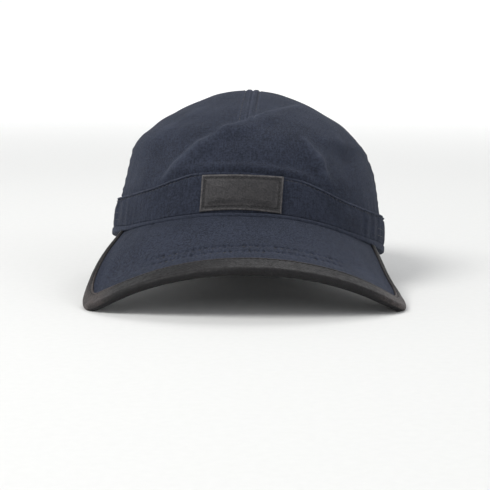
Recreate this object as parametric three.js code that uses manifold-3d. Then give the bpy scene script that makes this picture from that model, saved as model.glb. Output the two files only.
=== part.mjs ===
// A soft cloth cap: a hollow crown of three panels, a stitched band, a rolled hem round the head
// opening, an arched peak with a folded leather edge, and a puffed leather patch on the front.
//
// Millimetres, +Z up, -Y to the front. Left and right are as seen from in front of the cap.
// The surfaces are worked out in the cap's own frame: its origin is the middle of the head opening
// and its XY plane is the opening. The whole cap is then leaned and tipped back until it rests on
// the rear of its hem and on the two corners of its peak.

import * as THREE from "three";
import { mergeVertices } from "three/addons/utils/BufferGeometryUtils.js";
import Module from "manifold-3d";

const wasm = await Module();
wasm.setup();

const { degToRad, lerp, smoothstep } = THREE.MathUtils;

// Driving dimensions, in millimetres and degrees
const CROWN_CLOTH = 1.3;
const BAND_CLOTH = 1.6;
const LEATHER = 0.9;
const PEAK_BOARD = 2.4;
const GAP = 0.3;
const CROWN_LEAN = 3.6;
const REST_TILT = 10.9;
const FLOOR_PRESS = 0.8;
const SQUARENESS = 2.12;

// Level sections of the crown's outside: the height and how far it reaches each way
const CROWN_SECTIONS = [
  { height: 0, left: 85, right: 86.6, front: 98.6, rear: 100 },
  { height: 12, left: 84.5, right: 86.3, front: 98, rear: 99.4 },
  { height: 22, left: 83.6, right: 85.4, front: 97.1, rear: 98.5 },
  { height: 36, left: 81.6, right: 82.8, front: 95.4, rear: 97 },
  { height: 50, left: 79.7, right: 79.5, front: 91.5, rear: 94.5 },
  { height: 58, left: 78.1, right: 76.1, front: 87.2, rear: 91.8 },
  { height: 64, left: 74.2, right: 73.5, front: 82.5, rear: 88.8 },
  { height: 68, left: 70, right: 70.1, front: 77.5, rear: 86 },
  { height: 74, left: 63.4, right: 64.4, front: 69, rear: 80.5 },
  { height: 80, left: 55.3, right: 57.5, front: 58.5, rear: 73 },
  { height: 86, left: 46.4, right: 46.4, front: 46.5, rear: 63.5 },
  { height: 92, left: 35.1, right: 34.4, front: 34, rear: 50.5 },
  { height: 96, left: 26.2, right: 23.8, front: 24, rear: 38 },
  { height: 99, left: 14.6, right: 13.4, front: 12.5, rear: 21 },
  { height: 100.2, left: 0, right: 0, front: 0, rear: 0 },
];

// Top edge of the band, by the angle round from the front
const BAND_TOP = [
  { azimuth: 0, height: 37.2 },
  { azimuth: 20, height: 35.4 },
  { azimuth: 30, height: 31.5 },
  { azimuth: 40, height: 27.0 },
  { azimuth: 48, height: 24.8 },
  { azimuth: 60, height: 22.8 },
  { azimuth: 90, height: 22.0 },
  { azimuth: 180, height: 22.0 },
];

// Underside and height of the hem, by the angle from the front, which is negative on the left. It
// dips less on the right of the peak than on the left.
const HEM = [
  { azimuth: -180, low: -1.5, tall: 4.5 },
  { azimuth: -80, low: -1.5, tall: 4.5 },
  { azimuth: -66, low: -1.4, tall: 3.9 },
  { azimuth: -56, low: -0.4, tall: 2.8 },
  { azimuth: -48, low: 1.2, tall: 2.3 },
  { azimuth: -36, low: 3.9, tall: 2.0 },
  { azimuth: -27, low: 6.0, tall: 2.0 },
  { azimuth: -18, low: 8.0, tall: 2.0 },
  { azimuth: -9, low: 9.4, tall: 2.0 },
  { azimuth: 0, low: 10.2, tall: 2.0 },
  { azimuth: 9, low: 10.7, tall: 2.0 },
  { azimuth: 17, low: 10.3, tall: 2.0 },
  { azimuth: 25, low: 9.1, tall: 2.0 },
  { azimuth: 35, low: 6.9, tall: 2.1 },
  { azimuth: 45, low: 4.3, tall: 2.3 },
  { azimuth: 56, low: 2.0, tall: 2.8 },
  { azimuth: 66, low: 0.3, tall: 3.6 },
  { azimuth: 80, low: -1.5, tall: 4.5 },
  { azimuth: 180, low: -1.5, tall: 4.5 },
];
const BAND_JOINT = 69;
const CROWN_TUCK = 8;

// Outside of the band from low to high: up from an edge, out in thicknesses of its cloth
const BAND_LIP = 1.2;
const BAND_PROFILE = [
  { edge: "low", up: 0, out: 0.6 },
  { edge: "low", up: 0.9, out: 1.0 },
  { edge: "top", up: -9.5, out: 1.0 },
  { edge: "top", up: -2.8, out: 1.0 },
  { edge: "top", up: -1.8, out: 0.65 },
  { edge: "top", up: -0.8, out: BAND_LIP },
  { edge: "top", up: 0, out: 0.75 },
];

// The rolled hem from low to high: up in shares of its height, out and back from the crown
const HEM_PROFILE = [
  { up: 0, out: 1.4, back: 0.3 },
  { up: 0.25, out: 3.3, back: -0.9 },
  { up: 0.7, out: 3.6, back: -1.0 },
  { up: 1, out: 2.3, back: -0.3 },
];

// Gathers of the rear band and ripples at both ends of the front band
const REAR_GATHERS = 18;
const FACES_PER_GATHER = 4;
const GATHER_DEPTH = 1.1;
const RIPPLE_START = 46;
const RIPPLE_PITCH = 7.6;
const RIPPLE_DEPTH = 0.6;

// Folds of the crown, each a soft ridge from one point to another on its front or rear face
const FOLDS = [
  { face: "front", x0: -3.2, z0: 71.0, x1: -2.4, z1: 99.0, width: 6.0, rise: 0.8 },
  { face: "front", x0: -18.0, z0: 65.0, x1: -3.7, z1: 69.5, width: 4.5, rise: 1.2 },
  { face: "front", x0: -3.7, z0: 69.5, x1: 12.0, z1: 78.5, width: 4.5, rise: 1.1 },
  { face: "front", x0: 12.0, z0: 78.5, x1: 30.0, z1: 88.0, width: 5.0, rise: 0.9 },
  { face: "front", x0: -18.0, z0: 65.0, x1: -31.0, z1: 54.0, width: 5.5, rise: 1.4 },
  { face: "front", x0: -31.0, z0: 54.0, x1: -45.0, z1: 40.0, width: 6.0, rise: 1.7 },
  { face: "front", x0: -45.0, z0: 40.0, x1: -53.0, z1: 29.0, width: 6.0, rise: 1.4 },
  { face: "front", x0: 32.0, z0: 60.0, x1: 40.0, z1: 49.7, width: 6.0, rise: 1.6 },
  { face: "front", x0: 40.0, z0: 49.7, x1: 47.0, z1: 37.0, width: 6.0, rise: 1.6 },
  { face: "rear", x0: -62.0, z0: 22.0, x1: -57.0, z1: 46.0, width: 6.0, rise: 1.3 },
  { face: "rear", x0: -38.0, z0: 22.0, x1: -41.0, z1: 52.0, width: 6.5, rise: 1.5 },
  { face: "rear", x0: -14.0, z0: 22.0, x1: -17.0, z1: 43.0, width: 6.0, rise: 1.2 },
  { face: "rear", x0: 13.0, z0: 22.0, x1: 19.0, z1: 49.0, width: 6.5, rise: 1.4 },
  { face: "rear", x0: 37.0, z0: 22.0, x1: 35.0, z1: 44.0, width: 6.0, rise: 1.2 },
  { face: "rear", x0: 60.0, z0: 22.0, x1: 56.0, z1: 50.0, width: 6.5, rise: 1.4 },
];

// Broad hollows of the crown
const HOLLOWS = [
  { face: "front", x: -59, z: 50, wide: 13, tall: 12, depth: 2.6 },
  { face: "front", x: -14, z: 58, wide: 10, tall: 5, depth: 1.2 },
  { face: "front", x: 30, z: 46, wide: 9, tall: 10, depth: 1.4 },
  { face: "front", x: 64, z: 46, wide: 10, tall: 15, depth: 2.0 },
  { face: "rear", x: -28, z: 66, wide: 22, tall: 12, depth: 1.8 },
  { face: "rear", x: 34, z: 60, wide: 20, tall: 13, depth: 2.0 },
];

// Distances over which the folds fade in, from the sides of the crown and from the band
const FOLD_FADE = { sideStart: 4, sideEnd: 24, bandStart: 0.5, bandEnd: 6 };

// Plane of the seam over the crown from side to side, which runs through these two points
const SIDE_SEAM_LOW = new THREE.Vector3(0, -20, 22);
const SIDE_SEAM_TOP = new THREE.Vector3(0, 8, 100);

// The peak: a sloping spine, arched more tightly towards the head, and the plan of its edge
const PEAK_SLOPE = 0.515;
const PEAK_ROOT = { y: -100, height: 6.3 };
const PEAK_ARCH = [
  { y: -158, arch: 0.0038 },
  { y: -125, arch: 0.0045 },
  { y: -95, arch: 0.0046 },
  { y: -65, arch: 0.0054 },
  { y: -38, arch: 0.0062 },
];
const PEAK_SHIFT = 1.6;
const PEAK_UNTWIST = { start: 75, end: 140, turn: 4.16 };
const PEAK_SIDE_ROOT = new THREE.Vector2(76.4, -45.5);
const PEAK_BINDING_START = new THREE.Vector2(79.0, -54.0);
const PEAK_SIDE_END = new THREE.Vector2(91, -113);
const PEAK_CORNER = new THREE.Vector2(93.4, -130.6);
const PEAK_FRONT_RADIUS = 171;
const PEAK_FRONT = -158;
const PEAK_FRONT_HALF = 77;
const PEAK_SEAM_OUT = 2.0;
const PEAK_SEAT_DROP = { front: 1.75, side: 4.0, frontUntil: 40, sideFrom: 57 };
const PEAK_SEAT = { start: 4, end: 35 };
const BINDING_CLEARANCE = 0.45;
const BINDING_FLAP = { side: 3, front: 12.5, underShare: 0.45, narrowUntil: 100, fullFrom: 140 };
const BINDING_ROUND_ANGLES = [90, 45, 0, -45, -90];

// The patch: its middle, its size, its slant, and how its long edges arch
const PATCH = { x: -2.1, height: 24.8, width: 49.0, tall: 21.4, slant: 2.4, lowArch: 1.6, topArch: 0.5 };
const PATCH_SEAT = GAP + BAND_CLOTH * BAND_LIP + GAP;
const PATCH_EDGE = 1.1;
const PATCH_EDGE_LOW = 0.77;
const PATCH_GROOVE = 0.75;
const PATCH_PUFF = 2.3;
const PATCH_PUFF_RUN = 7.2;

// How finely each piece is divided
const CROWN_COLUMNS = 80;
const CROWN_ROWS = 12;
const FRONT_BAND_COLUMNS = 44;
const HEM_COLUMNS = 72;
const PEAK_ROWS = [0, 0.16, 0.36, 0.58, 0.78, 0.93, 1];
const EDGE_STEPS = { root: 2, side: 7, corner: 5, front: 16 };
const PATCH_STEPS = [0, 1, 2.2, 3.6];
const PATCH_MIDDLE_COLUMNS = 6;
const PATCH_MIDDLE_ROWS = 2;

// Steps of the working: the lowest level looked for, how often its interval is halved, the turn,
// rise and distance over which a surface's direction is taken, and the size of a cutting block
const LOWEST_LEVEL = -0.3;
const HALVINGS = 32;
const DIRECTION_TURN = 0.5;
const DIRECTION_RISE = 0.04;
const DIRECTION_STEP = 0.5;
const CUTTING_BLOCK = 500;

// Smooth curve from b to c, with a before it and d after it
function curveBetween(a, b, c, d, t) {
  const slope = c - a;
  const bend = 2 * a - 5 * b + 4 * c - d;
  const twist = 3 * b - a - 3 * c + d;
  return 0.5 * (2 * b + slope * t + bend * t * t + twist * t * t * t);
}

// Value of a table's column at a key, along smooth curves through its rows
function readTable(rows, key, column, value) {
  const last = rows.length - 1;
  let row = 0;
  while (row < last - 1 && rows[row + 1][key] < value) {
    row += 1;
  }
  const slopeBetween = (from, to) =>
    (rows[to][column] - rows[from][column]) / (rows[to][key] - rows[from][key]);
  const span = rows[row + 1][key] - rows[row][key];
  const t = (value - rows[row][key]) / span;
  const slopeIn = slopeBetween(Math.max(row - 1, 0), row + 1) * span;
  const slopeOut = slopeBetween(row, Math.min(row + 2, last)) * span;
  const low = rows[row][column];
  const high = rows[row + 1][column];
  return curveBetween(high - 2 * slopeIn, low, high, low + 2 * slopeOut, t);
}

const bandTop = (azimuth) => readTable(BAND_TOP, "azimuth", "height", roundFromFront(azimuth));
const hemLow = (azimuth) => readTable(HEM, "azimuth", "low", leftOrRight(azimuth));
const hemTall = (azimuth) => readTable(HEM, "azimuth", "tall", leftOrRight(azimuth));
const bandLow = (azimuth) => hemLow(azimuth) + hemTall(azimuth) + GAP;

// Angle from the front, 0 to 180, whichever way round
function roundFromFront(azimuth) {
  return azimuth > 180 ? 360 - azimuth : Math.abs(azimuth);
}

// The same angle from -180 to 180, negative on the left
function leftOrRight(azimuth) {
  return azimuth > 180 ? azimuth - 360 : azimuth;
}

// Sections with one more below, which continues the wall, and one past the top, mirrored
const TOP_LEVEL = CROWN_SECTIONS.length - 1;
const SECTION_COLUMNS = Object.keys(CROWN_SECTIONS[0]);
const sectionBelow = {};
const sectionAbove = {};
for (const column of SECTION_COLUMNS) {
  sectionBelow[column] = 2 * CROWN_SECTIONS[0][column] - CROWN_SECTIONS[1][column];
  sectionAbove[column] = -CROWN_SECTIONS[TOP_LEVEL - 1][column];
}
sectionAbove.height = CROWN_SECTIONS[TOP_LEVEL - 1].height;
const SECTIONS = [sectionBelow, ...CROWN_SECTIONS, sectionAbove];

// Section at a level, which counts the table's rows from 0 at the rim to TOP_LEVEL
function sectionAt(level) {
  const row = Math.min(Math.floor(level), TOP_LEVEL - 1);
  const section = {};
  for (const column of SECTION_COLUMNS) {
    const [a, b, c, d] = SECTIONS.slice(row, row + 4).map((each) => each[column]);
    section[column] = curveBetween(a, b, c, d, level - row);
  }
  return section;
}

// Level at a height, by halving the interval
function levelAt(height) {
  let low = LOWEST_LEVEL;
  let high = TOP_LEVEL;
  for (let halving = 0; halving < HALVINGS; halving += 1) {
    const middle = (low + high) / 2;
    const row = Math.min(Math.max(Math.floor(middle), 0), TOP_LEVEL - 1);
    const [a, b, c, d] = SECTIONS.slice(row, row + 4).map((each) => each.height);
    if (curveBetween(a, b, c, d, middle - row) < height) {
      low = middle;
    } else {
      high = middle;
    }
  }
  return (low + high) / 2;
}

// Point of the smooth crown, without folds. Every level section is a rounded oval.
function wallPoint(azimuth, level) {
  const section = sectionAt(Math.max(level, 0));
  const across = Math.sin(degToRad(azimuth));
  const forward = Math.cos(degToRad(azimuth));
  const width = across < 0 ? section.left : section.right;
  const length = forward > 0 ? section.front : section.rear;
  const power = 2 / SQUARENESS;
  const x = width * Math.sign(across) * Math.abs(across) ** power;
  const y = -length * Math.sign(forward) * Math.abs(forward) ** power;
  return new THREE.Vector3(x, y, section.height);
}

// Outward normal of the smooth crown
function wallNormal(azimuth, level) {
  const nearTop = THREE.MathUtils.clamp(level, 0, TOP_LEVEL - DIRECTION_RISE);
  const before = wallPoint(azimuth - DIRECTION_TURN, nearTop);
  const round = wallPoint(azimuth + DIRECTION_TURN, nearTop).sub(before);
  const up = wallPoint(azimuth, nearTop + DIRECTION_RISE).sub(wallPoint(azimuth, nearTop));
  return round.cross(up).normalize();
}

// Height of the folds above the smooth crown, at a point of it
function foldRise(point, azimuth) {
  const face = point.y < 0 ? "front" : "rear";
  let rise = 0;
  for (const fold of FOLDS.filter((each) => each.face === face)) {
    const start = new THREE.Vector2(fold.x0, fold.z0);
    const along = new THREE.Vector2(fold.x1, fold.z1).sub(start);
    const offset = new THREE.Vector2(point.x, point.z).sub(start);
    const t = THREE.MathUtils.clamp(offset.dot(along) / along.lengthSq(), 0, 1);
    const distance = offset.addScaledVector(along, -t).length();
    rise += fold.rise * Math.exp(-((distance / fold.width) ** 2));
  }
  for (const hollow of HOLLOWS.filter((each) => each.face === face)) {
    const across = (point.x - hollow.x) / hollow.wide;
    const up = (point.z - hollow.z) / hollow.tall;
    rise -= hollow.depth * Math.exp(-across * across - up * up);
  }
  const fromSide = smoothstep(Math.abs(point.y), FOLD_FADE.sideStart, FOLD_FADE.sideEnd);
  const aboveBand = point.z - bandTop(azimuth);
  const fromBand = smoothstep(aboveBand, FOLD_FADE.bandStart, FOLD_FADE.bandEnd);
  return rise * fromSide * fromBand;
}

// Point of the crown cloth: its outside at depth 0, its inside at the cloth's thickness
function crownPoint(azimuth, level, depth) {
  const point = wallPoint(azimuth, level);
  const rise = foldRise(point, azimuth);
  const normal = level < TOP_LEVEL ? wallNormal(azimuth, level) : new THREE.Vector3(0, 0, 1);
  return point.addScaledVector(normal, rise - depth);
}

// Point at a height on the band or hem, a distance out from the smooth crown
function bandPoint(azimuth, height, out) {
  const level = levelAt(height);
  const outward = wallNormal(azimuth, level).setZ(0).normalize();
  const point = wallPoint(azimuth, level).setZ(height);
  return point.addScaledVector(outward, out);
}

// How far the band's outside swells between its gathers or in its ripples
function bandSwell(azimuth) {
  const fromFront = roundFromFront(azimuth);
  if (fromFront > BAND_JOINT) {
    const t = (fromFront - BAND_JOINT) / (180 - BAND_JOINT);
    const wave = 0.5 - 0.5 * Math.cos(Math.PI * REAR_GATHERS * t);
    return GATHER_DEPTH * wave;
  }
  const wave = 0.5 - 0.5 * Math.cos((2 * Math.PI * (BAND_JOINT - fromFront)) / RIPPLE_PITCH);
  return RIPPLE_DEPTH * wave * smoothstep(fromFront, RIPPLE_START, BAND_JOINT - RIPPLE_PITCH);
}

// Closed geometry from a list of points and triangles, turned so that its faces point out
function closedGeometry(points, triangles) {
  const corners = (triangle) => triangle.map((index) => points[index]);
  let volume = 0;
  for (const triangle of triangles) {
    const [a, b, c] = corners(triangle);
    volume += a.dot(b.clone().cross(c));
  }
  const facing = volume < 0 ? triangles.map(([a, b, c]) => [a, c, b]) : triangles;
  const geometry = new THREE.BufferGeometry().setFromPoints(points);
  geometry.setIndex(facing.flat());
  return geometry;
}

// The two triangles of a four-sided face
function quad(a, b, c, d) {
  return [[a, b, c], [a, c, d]];
}

// Solid swept through sections, each with as many outer points as inner points. The ends are
// closed, or the last section joins the first.
function sweptSolid(sections, joined) {
  const half = sections[0].outer.length;
  const loop = half * 2;
  const points = sections.flatMap((section) => [...section.outer, ...section.inner.toReversed()]);
  const triangles = [];
  const spans = joined ? sections.length : sections.length - 1;
  for (let span = 0; span < spans; span += 1) {
    const here = span * loop;
    const next = ((span + 1) % sections.length) * loop;
    for (let i = 0; i < loop; i += 1) {
      const j = (i + 1) % loop;
      triangles.push(...quad(here + i, here + j, next + j, next + i));
    }
  }
  if (!joined) {
    const lastStart = (sections.length - 1) * loop;
    for (let i = 0; i < half - 1; i += 1) {
      const across = loop - 1 - i;
      triangles.push(...quad(i, across, across - 1, i + 1));
      triangles.push(...quad(lastStart + i, lastStart + i + 1, lastStart + across - 1, lastStart + across));
    }
  }
  return closedGeometry(points, triangles);
}

// Solid between two end points, through hoops that all have as many points
function hoopedSolid(startPoint, hoops, endPoint) {
  const count = hoops[0].length;
  const points = [startPoint, ...hoops.flat(), endPoint];
  const end = points.length - 1;
  const triangles = [];
  for (let i = 0; i < count; i += 1) {
    const j = (i + 1) % count;
    triangles.push([0, 1 + i, 1 + j]);
    for (let hoop = 0; hoop < hoops.length - 1; hoop += 1) {
      const here = 1 + hoop * count;
      const next = here + count;
      triangles.push(...quad(here + i, next + i, next + j, here + j));
    }
    const lastStart = end - count;
    triangles.push([end, lastStart + j, lastStart + i]);
  }
  return closedGeometry(points, triangles);
}

function toManifold(geometry) {
  const merged = mergeVertices(geometry.clone().deleteAttribute("normal").deleteAttribute("uv"));
  const mesh = new wasm.Mesh({
    numProp: 3,
    vertProperties: new Float32Array(merged.attributes.position.array),
    triVerts: new Uint32Array(merged.index.array),
  });
  return new wasm.Manifold(mesh);
}

function fromManifold(solid) {
  const mesh = solid.getMesh();
  const geometry = new THREE.BufferGeometry();
  geometry.setAttribute("position", new THREE.BufferAttribute(mesh.vertProperties, 3));
  geometry.setIndex(new THREE.BufferAttribute(mesh.triVerts, 1));
  return geometry;
}

// Everything on the side of a plane that the direction points to, as a large block
function halfSpace(point, direction) {
  const size = CUTTING_BLOCK;
  const facing = new THREE.Quaternion().setFromUnitVectors(
    new THREE.Vector3(0, 0, 1),
    direction.clone().normalize(),
  );
  const block = new THREE.BoxGeometry(size, size, size);
  block.translate(0, 0, size / 2 + GAP / 2);
  block.applyQuaternion(facing);
  block.translate(point.x, point.y, point.z);
  return toManifold(block);
}

// Hollow crown: up the inside from its lower edge to the top, and down the outside
function crownShell() {
  const azimuths = Array.from({ length: CROWN_COLUMNS }, (_, i) => (360 * i) / CROWN_COLUMNS);
  const hoopAt = (row, depth) =>
    azimuths.map((azimuth) => {
      const top = bandTop(azimuth);
      const tucked = levelAt(top - CROWN_TUCK);
      const shown = lerp(levelAt(top), TOP_LEVEL, (row - 1) / (CROWN_ROWS - 1));
      return crownPoint(azimuth, row === 0 ? tucked : shown, depth);
    });
  const outside = Array.from({ length: CROWN_ROWS }, (_, row) => hoopAt(row, 0));
  const inside = Array.from({ length: CROWN_ROWS }, (_, row) => hoopAt(row, CROWN_CLOTH));
  const hoops = [...inside.toReversed(), ...outside];
  return hoopedSolid(crownPoint(0, TOP_LEVEL, CROWN_CLOTH), hoops, crownPoint(0, TOP_LEVEL, 0));
}

// The crown's panels: a seam over the top from side to side, and one down the middle of the back
function crownPanels() {
  const crown = toManifold(crownShell());
  const seamRun = SIDE_SEAM_TOP.clone().sub(SIDE_SEAM_LOW);
  const backward = new THREE.Vector3(1, 0, 0).cross(seamRun).negate();
  const front = crown.intersect(halfSpace(SIDE_SEAM_LOW, backward.clone().negate()));
  const rear = crown.intersect(halfSpace(SIDE_SEAM_LOW, backward));
  const middle = new THREE.Vector3(0, 0, 0);
  return {
    front: fromManifold(front),
    rearLeft: fromManifold(rear.intersect(halfSpace(middle, new THREE.Vector3(-1, 0, 0)))),
    rearRight: fromManifold(rear.intersect(halfSpace(middle, new THREE.Vector3(1, 0, 0)))),
  };
}

// Section of the band at an angle, from its lower edge to its rolled and stitched top edge
function bandSection(azimuth) {
  const edges = { low: bandLow(azimuth), top: bandTop(azimuth) };
  const swell = bandSwell(azimuth);
  const outer = [];
  const inner = [];
  for (const { edge, up, out } of BAND_PROFILE) {
    const height = edges[edge] + up;
    outer.push(bandPoint(azimuth, height, GAP + BAND_CLOTH * out + swell));
    inner.push(bandPoint(azimuth, height, GAP));
  }
  return { outer, inner };
}

function bandPiece(start, end, columns) {
  const sections = [];
  for (let i = 0; i <= columns; i += 1) {
    sections.push(bandSection(lerp(start, end, i / columns)));
  }
  return sweptSolid(sections, false);
}

function frontBand() {
  return bandPiece(-BAND_JOINT, BAND_JOINT, FRONT_BAND_COLUMNS);
}

// The rear band starts a gap after the front band
function rearBand() {
  const gapAngle = THREE.MathUtils.radToDeg(GAP / CROWN_SECTIONS[0].right);
  const columns = REAR_GATHERS * FACES_PER_GATHER;
  return bandPiece(BAND_JOINT + gapAngle, 360 - BAND_JOINT - gapAngle, columns);
}

function hemSection(azimuth) {
  const heightAt = (up) => hemLow(azimuth) + hemTall(azimuth) * up;
  const outer = HEM_PROFILE.map(({ up, out }) => bandPoint(azimuth, heightAt(up), out));
  const inner = HEM_PROFILE.map(({ up, back }) => bandPoint(azimuth, heightAt(up), back));
  return { outer, inner };
}

function rimWelt() {
  const sections = [];
  for (let i = 0; i < HEM_COLUMNS; i += 1) {
    sections.push(hemSection((360 * i) / HEM_COLUMNS));
  }
  return sweptSolid(sections, true);
}

// Height of the arched sheet that the peak is bent from, over a point of its plan
function sheetHeight(x, y) {
  const spine = PEAK_ROOT.height + PEAK_SLOPE * (y - PEAK_ROOT.y);
  return spine - readTable(PEAK_ARCH, "y", "arch", y) * x * x;
}

// Plan of the peak's inner edge, which is sewn in under the hem
function peakRoot(azimuth) {
  const root = bandPoint(azimuth, 0, PEAK_SEAM_OUT);
  return new THREE.Vector2(root.x - PEAK_SHIFT, root.y);
}

const azimuthOf = (x, y) => THREE.MathUtils.radToDeg(Math.atan2(x, -y));

// Height of the middle of the peak's board: the sheet, brought up against the hem near its root
function peakHeight(x, y) {
  const azimuth = azimuthOf(x, y);
  const root = peakRoot(azimuth);
  const aside = smoothstep(roundFromFront(azimuth), PEAK_SEAT_DROP.frontUntil, PEAK_SEAT_DROP.sideFrom);
  const below = lerp(PEAK_SEAT_DROP.front, PEAK_SEAT_DROP.side, aside);
  const seat = hemLow(azimuth) - below - sheetHeight(root.x, root.y);
  const past = Math.hypot(x, y) - root.length();
  return sheetHeight(x, y) + seat * (1 - smoothstep(past, PEAK_SEAT.start, PEAK_SEAT.end));
}

function peakNormal(x, y) {
  const step = DIRECTION_STEP;
  const slopeX = (peakHeight(x + step, y) - peakHeight(x - step, y)) / (2 * step);
  const slopeY = (peakHeight(x, y + step) - peakHeight(x, y - step)) / (2 * step);
  return new THREE.Vector3(-slopeX, -slopeY, 1).normalize();
}

// Point over a point of the peak's plan, up from the middle of the board. The outer part of the
// peak is turned back, so that its edge is level again once the crown leans.
function peakPoint(x, y, up) {
  const point = new THREE.Vector3(x, y, peakHeight(x, y));
  point.addScaledVector(peakNormal(x, y), up);
  const turn = PEAK_UNTWIST.turn * smoothstep(-y, PEAK_UNTWIST.start, PEAK_UNTWIST.end);
  point.applyAxisAngle(new THREE.Vector3(0, 1, 0), -degToRad(turn));
  return point.setX(point.x + PEAK_SHIFT);
}

// Plan of the peak's edge from the right seam to the left, as points. With the roots it runs in
// under the hem, and without them it starts where the binding does.
function peakEdge(withRoots) {
  const mirrored = (point) => new THREE.Vector2(-point.x, point.y);
  const centreY = PEAK_FRONT + PEAK_FRONT_RADIUS;
  const reach = Math.asin(PEAK_FRONT_HALF / PEAK_FRONT_RADIUS);
  const straightAhead = -Math.PI / 2;
  const arc = new THREE.ArcCurve(
    0, centreY, PEAK_FRONT_RADIUS, straightAhead + reach, straightAhead - reach, true,
  );
  const frontRight = arc.getPoint(0);
  const root = new THREE.LineCurve(PEAK_SIDE_ROOT, PEAK_BINDING_START);
  const side = new THREE.LineCurve(PEAK_BINDING_START, PEAK_SIDE_END);
  const corner = new THREE.QuadraticBezierCurve(PEAK_SIDE_END, PEAK_CORNER, frontRight);
  const halfSteps = [
    ...(withRoots ? root.getPoints(EDGE_STEPS.root).slice(0, -1) : []),
    ...side.getPoints(EDGE_STEPS.side).slice(0, -1),
    ...corner.getPoints(EDGE_STEPS.corner).slice(0, -1),
  ];
  return [...halfSteps, ...arc.getPoints(EDGE_STEPS.front), ...halfSteps.map(mirrored).toReversed()];
}

// Cloth covered board, from under the hem out to the edge
function peakBoard() {
  const sections = peakEdge(true).map((edge) => {
    const root = peakRoot(azimuthOf(edge.x, edge.y));
    const plan = PEAK_ROWS.map((row) => [lerp(root.x, edge.x, row), lerp(root.y, edge.y, row)]);
    return {
      outer: plan.map(([x, y]) => peakPoint(x, y, PEAK_BOARD / 2)),
      inner: plan.map(([x, y]) => peakPoint(x, y, -PEAK_BOARD / 2)),
    };
  });
  return sweptSolid(sections, false);
}

// Outline of the binding's section: along the upper flap, round the edge and back underneath
function bindingProfile(radius, flap) {
  const round = BINDING_ROUND_ANGLES.map((angle) => {
    const turn = degToRad(angle);
    return { out: radius * Math.cos(turn), up: radius * Math.sin(turn) };
  });
  return [{ out: -flap, up: radius }, ...round, { out: -flap * BINDING_FLAP.underShare, up: -radius }];
}

// Leather folded round the edge of the board, with a wider flap at the front than at the sides
function peakBinding() {
  const edge = peakEdge(false);
  const clearRadius = PEAK_BOARD / 2 + BINDING_CLEARANCE;
  const sections = edge.map((point, i) => {
    const before = edge[Math.max(i - 1, 0)];
    const after = edge[Math.min(i + 1, edge.length - 1)];
    const run = after.clone().sub(before).normalize();
    const normal = peakNormal(point.x, point.y);
    const outward = new THREE.Vector3(-run.y, run.x, 0);
    outward.addScaledVector(normal, -outward.dot(normal)).normalize();
    const wideness = smoothstep(-point.y, BINDING_FLAP.narrowUntil, BINDING_FLAP.fullFrom);
    const flap = lerp(BINDING_FLAP.side, BINDING_FLAP.front, wideness);
    const place = ({ out, up }) => peakPoint(point.x + outward.x * out, point.y + outward.y * out, up);
    return {
      outer: bindingProfile(clearRadius + LEATHER, flap).map(place),
      inner: bindingProfile(clearRadius, flap).map(place),
    };
  });
  return sweptSolid(sections, false);
}

// Thickness of the patch at a distance in from its edge: flat, a stitched groove, then puffed
function patchThickness(inset) {
  if (inset < PATCH_STEPS[1]) {
    return lerp(PATCH_EDGE_LOW, PATCH_EDGE, inset / PATCH_STEPS[1]);
  }
  if (inset < PATCH_STEPS[2]) {
    return lerp(PATCH_EDGE, PATCH_GROOVE, smoothstep(inset, PATCH_STEPS[1], PATCH_STEPS[2]));
  }
  return lerp(PATCH_GROOVE, PATCH_PUFF, smoothstep(inset, PATCH_STEPS[2], PATCH_PUFF_RUN));
}

// Distances across the patch, from one edge to the other, closer together by the edges
function patchStations(size, middle) {
  const inner = size / 2 - PATCH_STEPS.at(-1);
  const right = PATCH_STEPS.map((inset) => size / 2 - inset);
  const between = Array.from({ length: middle - 1 }, (_, i) => lerp(-inner, inner, (i + 1) / middle));
  return [...right.map((each) => -each), ...between, ...right.toReversed()];
}

// Point of the patch, which follows the front of the band
function patchPoint(across, up, out) {
  const slant = Math.tan(degToRad(PATCH.slant));
  const fromMiddle = 1 - (2 * across / PATCH.width) ** 2;
  const arch = lerp(PATCH.lowArch, PATCH.topArch, up / PATCH.tall + 0.5);
  const height = PATCH.height + up + across * slant + arch * (fromMiddle - 1);
  const section = sectionAt(levelAt(height));
  const x = PATCH.x + across;
  const width = x < 0 ? section.left : section.right;
  const azimuth = THREE.MathUtils.radToDeg(Math.asin((Math.abs(x) / width) ** (SQUARENESS / 2)));
  return bandPoint(Math.sign(x) * azimuth, height, PATCH_SEAT + out);
}

function leatherPatch() {
  const ups = patchStations(PATCH.tall, PATCH_MIDDLE_ROWS);
  const sections = patchStations(PATCH.width, PATCH_MIDDLE_COLUMNS).map((across) => {
    const insetAt = (up) => Math.min(PATCH.width / 2 - Math.abs(across), PATCH.tall / 2 - Math.abs(up));
    return {
      outer: ups.map((up) => patchPoint(across, up, patchThickness(insetAt(up)))),
      inner: ups.map((up) => patchPoint(across, up, 0)),
    };
  });
  return sweptSolid(sections, false);
}

const navyCotton = new THREE.MeshStandardMaterial({ color: 0x343945, roughness: 0.9, metalness: 0 });
const navyBand = new THREE.MeshStandardMaterial({ color: 0x303541, roughness: 0.9, metalness: 0 });
const blackLeather = new THREE.MeshStandardMaterial({ color: 0x2c2a2b, roughness: 0.45, metalness: 0 });

const panels = crownPanels();
const PIECES = [
  { name: "crown_front_panel", geometry: panels.front, material: navyCotton },
  { name: "crown_rear_left_panel", geometry: panels.rearLeft, material: navyCotton },
  { name: "crown_rear_right_panel", geometry: panels.rearRight, material: navyCotton },
  { name: "front_band", geometry: frontBand(), material: navyBand },
  { name: "rear_band", geometry: rearBand(), material: navyBand },
  { name: "rim_welt", geometry: rimWelt(), material: navyBand, rests: true },
  { name: "peak", geometry: peakBoard(), material: navyCotton },
  { name: "peak_binding", geometry: peakBinding(), material: blackLeather, rests: true },
  { name: "leather_patch", geometry: leatherPatch(), material: blackLeather },
];

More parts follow.
